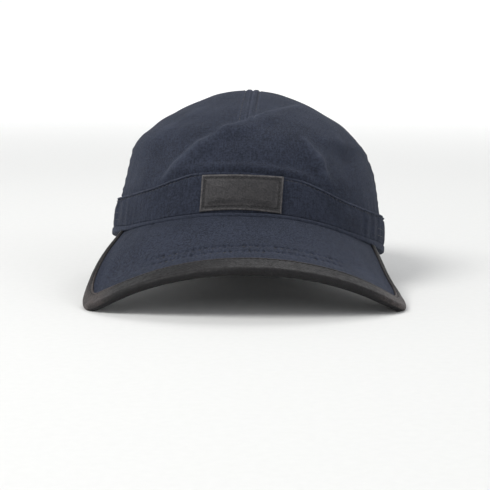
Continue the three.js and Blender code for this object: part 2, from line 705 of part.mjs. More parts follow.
// Lean and tip the cap onto the floor, and centre it over the origin
const resting = new THREE.Matrix4().makeRotationX(-degToRad(REST_TILT));
resting.multiply(new THREE.Matrix4().makeRotationY(degToRad(CROWN_LEAN)));
const bounds = new THREE.Box3();
for (const { geometry } of PIECES) {
  geometry.applyMatrix4(resting);
  geometry.computeBoundingBox();
  bounds.union(geometry.boundingBox);
}
const middle = bounds.getCenter(new THREE.Vector3());
const drop = new THREE.Vector3(-middle.x, -middle.y, -bounds.min.z - FLOOR_PRESS);

// What touches the floor is pressed flat there
const aboveFloor = halfSpace(new THREE.Vector3(0, 0, -GAP / 2), new THREE.Vector3(0, 0, 1));
const cap = new THREE.Group();
for (const { name, geometry, material, rests } of PIECES) {
  geometry.translate(drop.x, drop.y, drop.z);
  const shape = rests ? fromManifold(toManifold(geometry).intersect(aboveFloor)) : geometry;
  shape.computeVertexNormals();
  const mesh = new THREE.Mesh(shape, material);
  mesh.name = name;
  cap.add(mesh);
}

export default cap;
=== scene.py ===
"""A soft navy cotton cap with a stitched band, a leather-bound peak and a leather patch.

Points are worked out in millimetres in the cap's own frame: its origin is the middle of the head
opening, +Z is up and -Y is to the front. to_row() tips the cap onto the floor and turns the points
into metres in the row frame. An azimuth is an angle round the crown in degrees, 0 at the front and
positive on the side of +X.
"""

import math

import bmesh
import bpy
import numpy as np
from mathutils import Matrix, Vector


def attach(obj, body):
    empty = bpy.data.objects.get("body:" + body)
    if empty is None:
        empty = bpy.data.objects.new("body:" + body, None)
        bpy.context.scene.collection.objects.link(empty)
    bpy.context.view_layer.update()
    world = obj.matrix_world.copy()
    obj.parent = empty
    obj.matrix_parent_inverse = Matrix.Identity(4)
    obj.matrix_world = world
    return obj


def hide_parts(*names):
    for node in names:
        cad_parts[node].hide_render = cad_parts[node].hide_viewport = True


MM = 0.001
FULL_TURN = 2 * math.pi

# The cap's place on the floor: its lean, its tilt, and the middle of the head opening in millimetres
CROWN_LEAN = 3.6
REST_TILT = 10.9
RIM_CENTRE = (-1.2086, 29.2156, 20.7709)

# Thicknesses and the gap between neighbours
CROWN_CLOTH = 1.3
BAND_CLOTH = 1.6
LEATHER = 0.9
PEAK_BOARD = 2.4
GAP = 0.3

# Level sections of the crown: height, and reach to the left, right, front and rear
SQUARENESS = 2.12
CROWN_SECTIONS = np.array([
    (0, 85, 86.6, 98.6, 100),
    (12, 84.5, 86.3, 98, 99.4),
    (22, 83.6, 85.4, 97.1, 98.5),
    (36, 81.6, 82.8, 95.4, 97),
    (50, 79.7, 79.5, 91.5, 94.5),
    (58, 78.1, 76.1, 87.2, 91.8),
    (64, 74.2, 73.5, 82.5, 88.8),
    (68, 70, 70.1, 77.5, 86),
    (74, 63.4, 64.4, 69, 80.5),
    (80, 55.3, 57.5, 58.5, 73),
    (86, 46.4, 46.4, 46.5, 63.5),
    (92, 35.1, 34.4, 34, 50.5),
    (96, 26.2, 23.8, 24, 38),
    (99, 14.6, 13.4, 12.5, 21),
    (100.2, 0, 0, 0, 0),
])
BELOW = 2 * CROWN_SECTIONS[0] - CROWN_SECTIONS[1]
ABOVE = CROWN_SECTIONS[-2] * (1, -1, -1, -1, -1)
SECTIONS = np.vstack([BELOW, CROWN_SECTIONS, ABOVE])
TOP_LEVEL = len(CROWN_SECTIONS) - 1

# Top edge of the band: angle from the front and height
BAND_TOP = np.array([
    (0, 37.2), (20, 35.4), (30, 31.5), (40, 27.0), (48, 24.8), (60, 22.8), (90, 22.0), (180, 22.0),
])

# Hem: azimuth, height of its low edge, and how tall it is. Its roll is tucked under the band, and
# reaches in and out from a middle that lies outside the wall
HEM = np.array([
    (-180, -1.5, 4.5), (-80, -1.5, 4.5), (-66, -1.4, 3.9), (-56, -0.4, 2.8), (-48, 1.2, 2.3),
    (-36, 3.9, 2.0), (-27, 6.0, 2.0), (-18, 8.0, 2.0), (-9, 9.4, 2.0), (0, 10.2, 2.0), (9, 10.7, 2.0),
    (17, 10.3, 2.0), (25, 9.1, 2.0), (35, 6.9, 2.1), (45, 4.3, 2.3), (56, 2.0, 2.8), (66, 0.3, 3.6),
    (80, -1.5, 4.5), (180, -1.5, 4.5),
])
HEM_TUCK = GAP + 0.12
HEM_MIDDLE = 1.3
HEM_REACH = 2.2
HEM_SQUARENESS = 4
HEM_COLUMNS = 600
HEM_ROWS = 15

# The band: radius of its run, where its front and rear meet, gathers, ripples, the groove and the
# lip under its top edge, and the rows and columns of its mesh
BAND_RADIUS = 92
BAND_JOINT = 69
JOINT_RADIUS = 86.6
REAR_SPAN = 180 - BAND_JOINT
REAR_GATHERS = 18
GATHER_DEPTH = 1.1
RIPPLE_START = 46
RIPPLE_PITCH = 7.6
RIPPLE_DEPTH = 0.6
GROOVE_DOWN = 1.9
LIP_DOWN = 0.8
REAR_ROWS_UP = (4.5, 9.0)
BAND_LOW_ROWS = (0, 0.12, 0.35, 0.7, 1.1)
BAND_TOP_ROWS = (3.8, 3.3, 2.9, 2.5, 2.2, 1.9, 1.6, 1.3, 1.05, 0.8, 0.5, 0.25, 0.08, 0)
BAND_BODY_ROWS = 24
BODY_UP = 1.6
BODY_DOWN = 4.2
BAND_FRONT_COLUMNS = 400
BAND_REAR_COLUMNS = 600

# The crown's mesh, and how far its cloth is tucked under the band
CROWN_COLUMNS = 480
CROWN_SHOWN_ROWS = 146
CROWN_TUCKED_ROWS = 4
CROWN_TUCK = 8

# The ledge of the crown over the middle of the band
OVERHANG = 2.1
OVERHANG_UP = 3.4

# Folds on the front and the rear of the crown: start and end in x and z, width and rise
FOLDS = ([
    (-3.2, 71, -2.4, 99, 6, 0.8), (-17, 61.8, -2.5, 66.8, 3.6, 1.4),
    (-2.5, 66.8, 12.5, 75.6, 3.6, 1.4), (12.5, 75.6, 30.5, 85.5, 4.2, 1.1),
    (-16, 62.5, -29.5, 51, 4.4, 1.6), (-29.5, 51, -43, 37.5, 4.6, 1.9),
    (-43, 37.5, -51.5, 27, 4.6, 1.6), (33.5, 59.5, 42, 48.5, 4.4, 1.8),
    (42, 48.5, 49, 35, 4.4, 1.8),
], [
    (-62, 22, -57, 46, 6, 1.3), (-38, 22, -41, 52, 6.5, 1.5), (-14, 22, -17, 43, 6, 1.2),
    (13, 22, 19, 49, 6.5, 1.4), (37, 22, 35, 44, 6, 1.2), (60, 22, 56, 50, 6.5, 1.4),
])

# Sharper creases that lie along the folds. Ridges narrower than TAPERED_BELOW taper at their ends
CREASES = ([
    (-18, 63.5, -2, 70, 1.3, 0.9), (-2, 70, 10.5, 79, 1.3, 1.1), (10.5, 79, 30, 87.5, 1.7, 0.8),
    (-22, 60, -36, 48.5, 1.8, 0.9), (-35, 49.5, -46, 38.5, 1.8, 0.9),
    (-45, 39.5, -54, 27, 1.8, 0.8), (32.5, 60.5, 40.5, 51, 1.6, 1), (40.5, 51, 48.5, 36, 1.6, 1.1),
    (-60, 60, -33, 80, 3, 0.5), (44, 78, 62, 60, 3, 0.4),
], [
    (-40, 26, -43, 56, 2.2, 0.5), (16, 24, 22, 52, 2.2, 0.5), (-12, 50, -44, 74, 3, 0.6),
    (12, 60, 48, 74, 3, 0.6),
])
TAPERED_BELOW = 4

# Broad hollows on the front and the rear: x, z, width, height and depth
HOLLOWS = ([
    (-59, 50, 13, 12, 2.6), (-14, 58, 10, 5, 1.2), (30, 46, 9, 10, 1), (60, 55, 10, 11, 4.4),
], [
    (-28, 66, 22, 12, 1.8), (34, 60, 20, 13, 2),
])

# Seams of the crown: the dart's middle and low end, a point of the side seam's plane and that
# plane's direction to the rear, and the rows of stitches by their distance from the seam
DART_X = -3.2
DART_DRIFT = 0.8
DART_LOW = 71
DART_RUN = 28
DART_ROW = 4.6
SEAM_POINT = np.array((0, -20.0, 22.0))
SEAM_BACKWARD = np.array((0, 78.0, -28.0)) / math.hypot(78, 28)
SIDE_ROWS = (1.6, 5.4)
BACK_ROW = 3.1

# Lines along those seams: distance from the seam, width, and depth of a groove or share of wear
DART_GROOVES = ((0, 0.8, 0.9), (DART_ROW, 0.8, 1.1))
DART_WEAR = ((5.2, 0.7, 0.5), (1.0, 0.5, 0.6))
SIDE_GROOVES = ((-0.15, 0.5, 0.9), (SIDE_ROWS[0], 0.5, 0.3), (SIDE_ROWS[1], 0.55, 0.35))
SIDE_WEAR = ((6.4, 0.7, 0.5), (0.8, 0.45, 0.6))
BACK_GROOVES = ((0, 0.5, 0.8), (BACK_ROW, 0.5, 0.35))
BACK_WEAR = ((0.9, 0.5, 0.5),)

# The peak's sheet: its slope, and how strongly it arches at each place along it
PEAK_SLOPE = 0.515
PEAK_ROOT_Y = -100
PEAK_ROOT_HEIGHT = 6.3
PEAK_ARCH = np.array([(-158, 0.0038), (-125, 0.0045), (-95, 0.0046), (-65, 0.0054), (-38, 0.0062)])
PEAK_SHIFT = 1.6
PEAK_TURN = 4.16
PEAK_SEAM_OUT = 2.0
PEAK_SEAT_REACH = 35

# Plan of the peak's right edge: its root, the start of the binding, the end of its side, the corner
# that its bend is drawn toward, and the arc of its front
PEAK_SIDE = np.array([(76.4, -45.5), (77.9, -50.5), (91, -113), (93.4, -130.6)])
PEAK_FRONT_RADIUS = 171
PEAK_FRONT = -158
PEAK_FRONT_HALF = 77

# The peak's rows of stitches and its mesh
PEAK_ROWS_IN = (21.4, 27.2)
PEAK_ROWS_HALF = 62
PEAK_PITCH = 4.3
PEAK_THREAD_DOWN = 1.05
PEAK_COLUMNS = 400
PEAK_STATIONS = 84

# The leather binding: its flap, the share of it under the peak, its row of stitches, and the
# stations of its mesh across each lip and round the edge
BINDING_CLEARANCE = 0.45
BINDING_FULL = LEATHER + 0.08
FLAP_NARROW = 2.3
FLAP_WIDENS = 10.2
UNDER_SHARE = 0.45
LIP_ROW = 1.75
LIP_CLOSED = 0.38
BINDING_PITCH = 3.2
BINDING_COLUMNS = 420
LIP_STATIONS = 16
EDGE_STATIONS = 17

# The patch: its place, size and slant, the arch of its low and top edges, its edge and puffed
# middle, and its row of stitches
PATCH_X = -2.4
PATCH_HEIGHT = 24.8
PATCH_WIDTH = 47.2
PATCH_TALL = 21.4
PATCH_SLANT = 2.4
PATCH_ARCH = (1.6, 0.5)
PATCH_SEAT = GAP + BAND_CLOTH * 1.2 + GAP
PATCH_EDGE = 1.1
PATCH_PUFF = 1.25
PATCH_STITCH_IN = 2.0
PATCH_STITCH_OUT = 0.68
PATCH_COLUMNS = 170
PATCH_ROWS = 76

# Stitches: pitch, length and width
CROWN_STITCH = (3.1, 2.1, 0.5)
BAND_STITCH = (3.0, 2.1, 0.5)
PEAK_STITCH = (PEAK_PITCH, 2.8, 0.8)
BINDING_STITCH = (BINDING_PITCH, 2.2, 0.42)
PATCH_STITCH = (2.5, 1.6, 0.62)

# Pitch of the twill's ribs in millimetres, and the depth of the bumps of cloth, leather and thread
TWILL_PITCH = 0.75
WEAVE_DEPTH = 0.00016
GRAIN_DEPTH = 0.00016
TWIST_DEPTH = 0.00012

# The floor and its backdrop, in metres
FLOOR_REACH = 2.4
COVE_RADIUS = 2.0
FLOOR_COLUMNS = 96

# The room's light, and the lamps: name, place, size, power and colour
ROOM_COLOUR = (0.95, 0.97, 1, 1)
ROOM_STRENGTH = 0.36
LIGHT_AIM = (0, 0, 0.05)
LIGHTS = [
    ("key", (-1.15, -0.75, 1.6), 1.0, 30, (1, 0.995, 0.98)),
    ("fill", (1.5, -1.1, 0.9), 1.2, 7, (0.96, 0.98, 1)),
    ("back", (0.3, 1.2, 1.9), 1.4, 18, (1, 1, 1)),
]

# The camera
CAMERA_AZIMUTH = 1.4
CAMERA_ELEVATION = 8.0
CAMERA_DISTANCE = 1.0
CAMERA_LENS = 111.3
CAMERA_SENSOR = 36
CAMERA_SHIFT = (-0.0041, -0.0051)


def smooth(value, low, high):
    t = np.clip((value - low) / (high - low), 0, 1)
    return t * t * (3 - 2 * t)


def bump(value, middle, width):
    return np.exp(-(((value - middle) / width) ** 2))


def lines(distance, table):
    """Sum of soft lines at distances from a seam: distance, width and strength of each."""
    return sum(strength * bump(distance, place, width) for place, width, strength in table)


def puckers(run, pitch, sway, length):
    """Uneven wave along a run of sewn cloth, from -1 to 1."""
    return np.cos(FULL_TURN * run / pitch + sway * np.sin(run / length))


def unit(vectors):
    return vectors / np.maximum(np.linalg.norm(vectors, axis=-1, keepdims=True), 1e-9)


def run_lengths(points):
    steps = np.linalg.norm(np.diff(points, axis=0), axis=-1)
    return np.concatenate([[0], np.cumsum(steps)])


def along(path, run, at):
    """Points of a path, or of what belongs to its points, at distances along it."""
    return np.stack([np.interp(at, run, path[:, n]) for n in range(path.shape[1])], -1)


def ring_faces(rings, size, joined=False):
    """Faces between rings of points. The last ring meets the first one where they are joined."""
    i = np.arange(rings if joined else rings - 1)[:, None]
    j = np.arange(size)[None, :]
    low = i * size
    high = (i + 1) % rings * size
    beside = (j + 1) % size
    return np.stack([low + j, low + beside, high + beside, high + j], -1)


def curve_between(a, b, c, d, t):
    slope = c - a
    bend = 2 * a - 5 * b + 4 * c - d
    twist = 3 * b - a - 3 * c + d
    return 0.5 * (2 * b + slope * t + bend * t * t + twist * t**3)


def read_table(table, at, column=1):
    """Smooth curve through a column of a table, by the table's first column."""
    keys = table[:, 0]
    values = table[:, column]
    last = len(keys) - 1
    row = np.clip(np.searchsorted(keys, at) - 1, 0, last - 1)
    before = np.maximum(np.arange(last + 1) - 1, 0)
    after = np.minimum(np.arange(last + 1) + 1, last)
    tangents = (values[after] - values[before]) / (keys[after] - keys[before])
    span = keys[row + 1] - keys[row]
    low = values[row]
    high = values[row + 1]
    before_low = high - 2 * tangents[row] * span
    after_high = low + 2 * tangents[row + 1] * span
    return curve_between(before_low, low, high, after_high, (at - keys[row]) / span)


def waves(points, size, seed):
    """Soft random undulation with features of about that size, roughly from -1 to 1."""
    rng = np.random.default_rng(seed)
    directions = unit(rng.normal(size=(10, 3)))
    lengths = size * rng.uniform(0.8, 1.9, 10)
    phases = rng.uniform(0, FULL_TURN, 10)
    return np.sin(points @ (directions * (FULL_TURN / lengths)[:, None]).T + phases).sum(-1) / 4


# The smooth wall that the crown and the bands follow


def left_or_right(azimuth):
    return np.mod(np.asarray(azimuth, float) + 180, 360) - 180


def from_front(azimuth):
    turned = np.mod(np.asarray(azimuth, float), 360)
    return np.where(turned > 180, 360 - turned, turned)


def band_top(azimuth):
    return read_table(BAND_TOP, from_front(azimuth))


def hem_low(azimuth):
    return read_table(HEM, left_or_right(azimuth))


def hem_tall(azimuth):
    return read_table(HEM, left_or_right(azimuth), column=2)


def band_low(azimuth):
    return hem_low(azimuth) + hem_tall(azimuth) + GAP


def section_at(level):
    """Height and reaches of the crown's section at a level, which counts the table's rows."""
    level = np.asarray(level, float)
    row = np.clip(np.floor(level), 0, TOP_LEVEL - 1).astype(int)
    t = (level - row)[..., None]
    return curve_between(SECTIONS[row], SECTIONS[row + 1], SECTIONS[row + 2], SECTIONS[row + 3], t)


def level_at(height):
    """Level of a height, found by halving the range that holds it."""
    height = np.asarray(height, float)
    low = np.full(height.shape, -0.3)
    high = np.full(height.shape, float(TOP_LEVEL))
    for _ in range(32):
        middle = (low + high) / 2
        under = section_at(middle)[..., 0] < height
        low = np.where(under, middle, low)
        high = np.where(under, high, middle)
    return (low + high) / 2


def wall_point(azimuth, level):
    azimuth, level = np.broadcast_arrays(azimuth, level)
    height, left, right, front, rear = np.moveaxis(section_at(np.maximum(level, 0)), -1, 0)
    across = np.sin(np.radians(azimuth))
    forward = np.cos(np.radians(azimuth))
    width = np.where(across < 0, left, right)
    length = np.where(forward > 0, front, rear)
    power = 2 / SQUARENESS
    x = width * np.sign(across) * np.abs(across) ** power
    y = -length * np.sign(forward) * np.abs(forward) ** power
    return np.stack([x, y, height], -1)


def wall_normal(azimuth, level):
    azimuth = np.asarray(azimuth)
    near_top = np.clip(level, 0, TOP_LEVEL - 0.05)
    around = wall_point(azimuth + 0.5, near_top) - wall_point(azimuth - 0.5, near_top)
    up = wall_point(azimuth, near_top + 0.04) - wall_point(azimuth, near_top)
    return unit(np.cross(around, up))


def azimuth_on(level, x, behind=False):
    """Azimuth at which the section at a level passes x, in front or behind."""
    section = section_at(level)
    width = np.where(x < 0, section[..., 1], section[..., 2])
    sine = np.clip(np.abs(x) / width, 0, 1) ** (SQUARENESS / 2)
    angle = np.degrees(np.arcsin(sine))
    return np.sign(x) * np.where(behind, 180 - angle, angle)


def band_point(azimuth, height, out):
    """Point straight out from the wall at a height."""
    azimuth, height, out = np.broadcast_arrays(azimuth, height, out)
    level = level_at(height)
    outward = wall_normal(azimuth, level)
    outward[..., 2] = 0
    point = wall_point(azimuth, level)
    point[..., 2] = height
    return point + unit(outward) * out[..., None]


# Meshes and pieces


LEANED = Matrix.Rotation(math.radians(CROWN_LEAN), 4, "Y")
TILTED = Matrix.Rotation(-math.radians(REST_TILT), 4, "X")
TO_ROW = np.array(Matrix.Scale(MM, 4) @ Matrix.Translation(RIM_CENTRE) @ TILTED @ LEANED)


def to_row(points):
    """Points in metres in the row frame, with what would sink into the floor pressed flat."""
    placed = points @ TO_ROW[:3, :3].T + TO_ROW[:3, 3]
    placed[..., 2] = np.maximum(placed[..., 2], 0)
    return placed


def make_mesh(name, points, faces, corners, wear_and_highlight):
    """Mesh from points in the cap's frame, with a UV map in millimetres and an attribute that turns the
    material paler: wear, and a painted highlight on some pieces.
    """
    mesh = bpy.data.meshes.new(name)
    mesh.from_pydata(to_row(points).tolist(), [], faces)
    layer = mesh.uv_layers.new(name="cloth")
    layer.data.foreach_set("uv", np.asarray(corners, np.float32).ravel())
    attribute = mesh.attributes.new("wear_and_highlight", "FLOAT", "POINT")
    attribute.data.foreach_set("value", np.asarray(wear_and_highlight, np.float32).ravel())
    mesh.polygons.foreach_set("use_smooth", np.ones(len(mesh.polygons), bool))
    return mesh


def new_object(data):
    made = bpy.data.objects.new(data.name, data)
    bpy.context.scene.collection.objects.link(made)
    return made


def add_piece(mesh, material, node=None, sharp=55):
    """Object of the mesh, riding on the cap. It stands for the part's node that it names."""
    mesh.set_sharp_from_angle(angle=math.radians(sharp))
    mesh.materials.append(material)
    piece = new_object(mesh)
    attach(piece, "root")
    if node:
        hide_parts(node)
    return piece


def swept(outer, inner, joined, outer_wear_and_highlight):
    """Points, faces, UV corners and values of wear and painted highlight of a solid swept through
    sections. Every section runs along its outer points and back along its inner points."""
    count, half = outer.shape[:2]
    loop = 2 * half
    points = np.concatenate([outer, inner[:, ::-1]], axis=1)
    wear_and_highlight = np.concatenate([outer_wear_and_highlight, np.zeros_like(outer_wear_and_highlight)], axis=1)
    across = run_lengths(points[count // 2])
    across = np.append(across, across[-1] + 1)
    length = run_lengths(outer[:, half // 2])
    length = np.append(length, 2 * length[-1] - length[-2])
    quads = ring_faces(count, loop, joined)
    i = np.arange(len(quads))[:, None, None] + (0, 0, 1, 1)
    j = np.arange(loop)[None, :, None] + (0, 1, 1, 0)
    faces = quads.reshape(-1, 4)
    corners = np.stack(np.broadcast_arrays(length[i], across[j]), -1).reshape(-1, 4, 2)
    if not joined:
        k = np.arange(half - 1)
        first = np.stack([k, loop - 1 - k, loop - 2 - k, k + 1], -1)
        last = (count - 1) * loop + first[:, ::-1]
        faces = np.concatenate([faces, first, last])
        corners = np.concatenate([corners, np.zeros((2 * (half - 1), 4, 2))])
    points = points.reshape(-1, 3)
    a, b, c = (points[faces[:, n]] for n in (0, 1, 2))
    inside_out = np.einsum("ij,ij->i", a, np.cross(b, c)).sum() < 0
    if inside_out:
        faces = faces[:, ::-1]
        corners = corners[:, ::-1]
    return points, faces.tolist(), corners, wear_and_highlight.reshape(-1)


def add_solid(name, node, outer, inner, wear_and_highlight, material, joined=False):
    mesh = make_mesh(name, *swept(outer, inner, joined, wear_and_highlight))
    add_piece(mesh, material, node)


# Materials


def linear(red, green, blue):
    """Linear colour from the 0 to 255 values of a screen."""
    return tuple(((c / 255 + 0.055) / 1.055) ** 2.4 for c in (red, green, blue))


class Surface:
    """A new material, with short ways to add its nodes and join them."""

    def __init__(self, name):
        self.material = bpy.data.materials.new(name)
        self.material.use_nodes = True
        self.tree = self.material.node_tree
        self.shader = self.tree.nodes["Principled BSDF"]

    def feed(self, socket, value):
        """Set a socket, or join another node's output to it."""
        if isinstance(value, bpy.types.NodeSocket):
            self.tree.links.new(value, socket)
        else:
            socket.default_value = value

    def feed_all(self, node, values):
        for name, value in values.items():
            self.feed(node.inputs[name.replace("_", " ")], value)

    def shade(self, **values):
        self.feed_all(self.shader, values)

    def node(self, kind, settings=None, **values):
        made = self.tree.nodes.new(f"ShaderNode{kind}")
        for name, value in (settings or {}).items():
            setattr(made, name, value)
        self.feed_all(made, values)
        return made

    def ramp(self, source, low, high, to_low, to_high):
        made = self.node(
            "MapRange", {"interpolation_type": "SMOOTHSTEP"},
            Value=source, From_Min=low, From_Max=high, To_Min=to_low, To_Max=to_high,
        )
        return made.outputs["Result"]

    def combine(self, operation, first, second):
        made = self.node("Math", {"operation": operation})
        self.feed(made.inputs[0], first)
        self.feed(made.inputs[1], second)
        return made.outputs["Value"]

    def times(self, first, second):
        return self.combine("MULTIPLY", first, second)

    def sine(self, source):
        return self.combine("SINE", source, 0.0)

    def total(self, parts):
        """Sum of sources, each times its share."""
        result = 0.0
        for source, share in parts:
            result = self.combine("ADD", result, self.times(source, share))
        return result

    def mix(self, factor, first, second):
        made = self.node("Mix", {"data_type": "RGBA"}, Factor=factor)
        for socket, colour in ((made.inputs[6], first), (made.inputs[7], second)):
            self.feed(socket, (*colour, 1) if isinstance(colour, tuple) else colour)
        return made.outputs[2]

    def tones(self, factor, colour, dark, pale):
        """A colour from a darker to a paler share of itself."""
        first, second = (tuple(c * share for c in colour) for share in (dark, pale))
        return self.mix(factor, first, second)

    def uv(self, across=1, upward=1):
        """The map in millimetres, scaled across and upward."""
        place = self.node("UVMap", {"uv_map": "cloth"}).outputs["UV"]
        return self.node("Mapping", Vector=place, Scale=(across, upward, 1)).outputs["Vector"]

    def split(self, vector):
        parts = self.node("SeparateXYZ", Vector=vector).outputs
        return parts["X"], parts["Y"]

    def noise(self, vector, scale, detail):
        return self.node("TexNoise", Vector=vector, Scale=scale, Detail=detail).outputs["Fac"]

    # Attribute of wear and painted highlight, from 0 to 1: where it is high the material turns to its
    # paler colour.
    def wear_and_highlight(self):
        return self.node("Attribute", {"attribute_name": "wear_and_highlight"}).outputs["Fac"]

    def relief(self, height, strength, depth):
        made = self.node("Bump", Height=height, Strength=strength, Distance=depth)
        self.shade(Normal=made.outputs["Normal"])


def cotton(name, colour, worn_and_lit, speckled):
    """Washed twill: diagonal ribs, slubby threads, soft mottling, and a paler colour on worn places and
    on ridges with a painted highlight.
    """
    cloth = Surface(name)
    uv = cloth.uv()
    u, v = cloth.split(uv)
    turns = FULL_TURN / TWILL_PITCH
    ribs = cloth.sine(cloth.total([(u, turns * 0.8), (cloth.noise(uv, 0.7, 2), 5.0), (v, turns * 0.6)]))
    weft = cloth.sine(cloth.times(u, turns * 1.9))
    warp = cloth.sine(cloth.times(v, turns * 1.9))
    slub = cloth.noise(cloth.uv(1.6, 0.16), 1.0, 3)
    cross_slub = cloth.noise(cloth.uv(0.18, 1.3), 1.0, 2)
    mottle = cloth.noise(uv, 0.35, 5)
    fuzz = cloth.noise(uv, 2.6, 2)
    speckle = cloth.noise(uv, 0.75, 3)
    patchy = cloth.noise(uv, 0.035, 3)
    spreads = [
        (slub, 0.3, 0.72, 0.5),
        (cross_slub, 0.3, 0.72, 0.25),
        (mottle, 0.3, 0.7, 0.45),
        (patchy, 0.3, 0.7, 0.35),
        (fuzz, 0.35, 0.65, 0.4),
        (speckle, 0.36, 0.64, speckled),
    ]
    shade = cloth.times(ribs, 0.25)
    for source, low, high, share in spreads:
        shade = cloth.combine("ADD", shade, cloth.ramp(source, low, high, -share, share))
    base = cloth.tones(cloth.ramp(shade, -1.9, 1.9, 0.0, 1.0), colour, 0.55, 1.5)
    # The paler colour comes in where the attribute marks worn places and painted highlights on ridges.
    worn_and_lit_here = cloth.times(cloth.wear_and_highlight(), cloth.ramp(mottle, 0.3, 0.7, 0.4, 1))
    heights = [(ribs, 0.5), (cloth.times(weft, warp), 0.35), (slub, 1.6), (fuzz, 0.8), (mottle, 2.2)]
    cloth.relief(cloth.total(heights), 0.75, WEAVE_DEPTH)
    cloth.shade(
        Base_Color=cloth.mix(worn_and_lit_here, base, worn_and_lit),
        Roughness=cloth.ramp(mottle, 0.3, 0.7, 0.82, 0.95),
        Specular_IOR_Level=0.12,
        Sheen_Weight=0.07,
        Sheen_Roughness=0.45,
        Sheen_Tint=(0.62, 0.7, 0.9, 1),
    )
    return cloth.material


def leather(name, colour, worn_and_lit, gloss):
    """Soft grained leather: pebbled cells, fine pores, and brown-grey paler marks on rubbed edges and
    where a highlight is painted.
    """
    hide = Surface(name)
    uv = hide.uv()
    bent = hide.node("TexNoise", Vector=uv, Scale=0.8, Detail=2.0)
    shifted = hide.node("VectorMath", {"operation": "MULTIPLY_ADD"})
    for socket, value in zip(shifted.inputs, (bent.outputs["Color"], (0.9, 0.9, 0), uv)):
        hide.feed(socket, value)
    cells = hide.node(
        "TexVoronoi", {"feature": "SMOOTH_F1"},
        Vector=shifted.outputs["Vector"], Scale=1.15, Smoothness=0.7,
    )
    pores = hide.noise(uv, 3.4, 3)
    scuffs = hide.noise(uv, 0.22, 5)
    broad = hide.noise(uv, 0.06, 2)
    grain = hide.ramp(cells.outputs["Distance"], 0.15, 0.85, 1.0, 0.0)
    # The paler colour comes in on rubbed edges and corners, and on the painted highlight of the
    # binding's lip and roll top.
    rubbed_and_lit = hide.times(hide.wear_and_highlight(), hide.ramp(scuffs, 0.3, 0.68, 0.35, 1))
    rubbed_and_lit = hide.times(rubbed_and_lit, hide.ramp(grain, 0.0, 0.8, 0.55, 1))
    tone = hide.combine("ADD", hide.ramp(grain, 0, 1, 0, 0.5), hide.ramp(broad, 0.3, 0.7, 0, 0.5))
    base = hide.tones(tone, colour, 0.7, 1.3)
    matt = hide.ramp(scuffs, 0.3, 0.7, gloss, gloss + 0.14)
    hide.relief(hide.total([(grain, 1.0), (pores, 0.55), (scuffs, 1.2)]), 0.7, GRAIN_DEPTH)
    hide.shade(
        Base_Color=hide.mix(rubbed_and_lit, base, worn_and_lit),
        Roughness=hide.combine("ADD", matt, hide.ramp(grain, 0, 1, 0.1, 0)),
        Specular_IOR_Level=0.24,
    )
    return hide.material


def thread(name, colour):
    """Twisted sewing thread."""
    twine = Surface(name)
    u, v = twine.split(twine.uv())
    twist = twine.sine(twine.combine("ADD", twine.times(u, 16.0), v))
    base = twine.tones(twine.ramp(twist, -1, 1, 0, 1), colour, 0.6, 1.4)
    twine.relief(twist, 0.6, TWIST_DEPTH)
    twine.shade(Base_Color=base, Roughness=0.6, Sheen_Weight=0.15)
    return twine.material


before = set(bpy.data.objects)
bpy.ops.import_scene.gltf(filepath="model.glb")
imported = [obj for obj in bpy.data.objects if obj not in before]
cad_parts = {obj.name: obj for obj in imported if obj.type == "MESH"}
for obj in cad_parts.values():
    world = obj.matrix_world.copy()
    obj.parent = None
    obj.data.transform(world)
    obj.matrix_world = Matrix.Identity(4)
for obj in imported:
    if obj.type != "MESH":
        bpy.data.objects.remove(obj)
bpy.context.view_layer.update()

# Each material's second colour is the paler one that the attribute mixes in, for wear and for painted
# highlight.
CROWN_COTTON = cotton("crown_twill", linear(43, 47, 59), linear(70, 75, 89), 0.6)
BAND_COTTON = cotton("band_twill", linear(42, 46, 58), linear(74, 79, 93), 0.6)
PEAK_COTTON = cotton("peak_twill", linear(43, 47, 59), linear(63, 68, 81), 1.0)
BINDING_LEATHER = leather("binding_hide", linear(17, 16, 18), linear(90, 81, 79), 0.42)
PATCH_LEATHER = leather("patch_hide", linear(42, 41, 43), linear(98, 95, 95), 0.45)
NAVY_THREAD = thread("navy_thread", linear(25, 27, 35))
DARK_THREAD = thread("dark_thread", linear(16, 16, 17))


# Crown


def ridge_rise(point, x0, z0, x1, z1, width, height):
    """Rise over a ridge that runs from one point to another in x and z."""
    along_x = x1 - x0
    along_z = z1 - z0
    off_x = point[..., 0] - x0
    off_z = point[..., 2] - z0
    t = np.clip((off_x * along_x + off_z * along_z) / (along_x**2 + along_z**2), 0, 1)
    distance = np.hypot(off_x - along_x * t, off_z - along_z * t)
    ends = smooth(t, -0.2, 0.25) * (1 - smooth(t, 0.75, 1.2))
    taper = ends if width < TAPERED_BELOW else 1
    return height * bump(distance, 0, width) * taper


def hollow_depth(point, x, z, wide, tall, depth):
    return depth * bump(point[..., 0], x, wide) * bump(point[..., 2], z, tall)


def on_faces(shape, point, tables):
    """Sum of a shape over the table of the face that each point lies on, front or rear."""
    front, rear = (sum(shape(point, *row) for row in table) for table in tables)
    return np.where(point[..., 1] < 0, front, rear)


def dart_middle(height):
    return DART_X + DART_DRIFT * np.clip((height - DART_LOW) / DART_RUN, 0, 1)


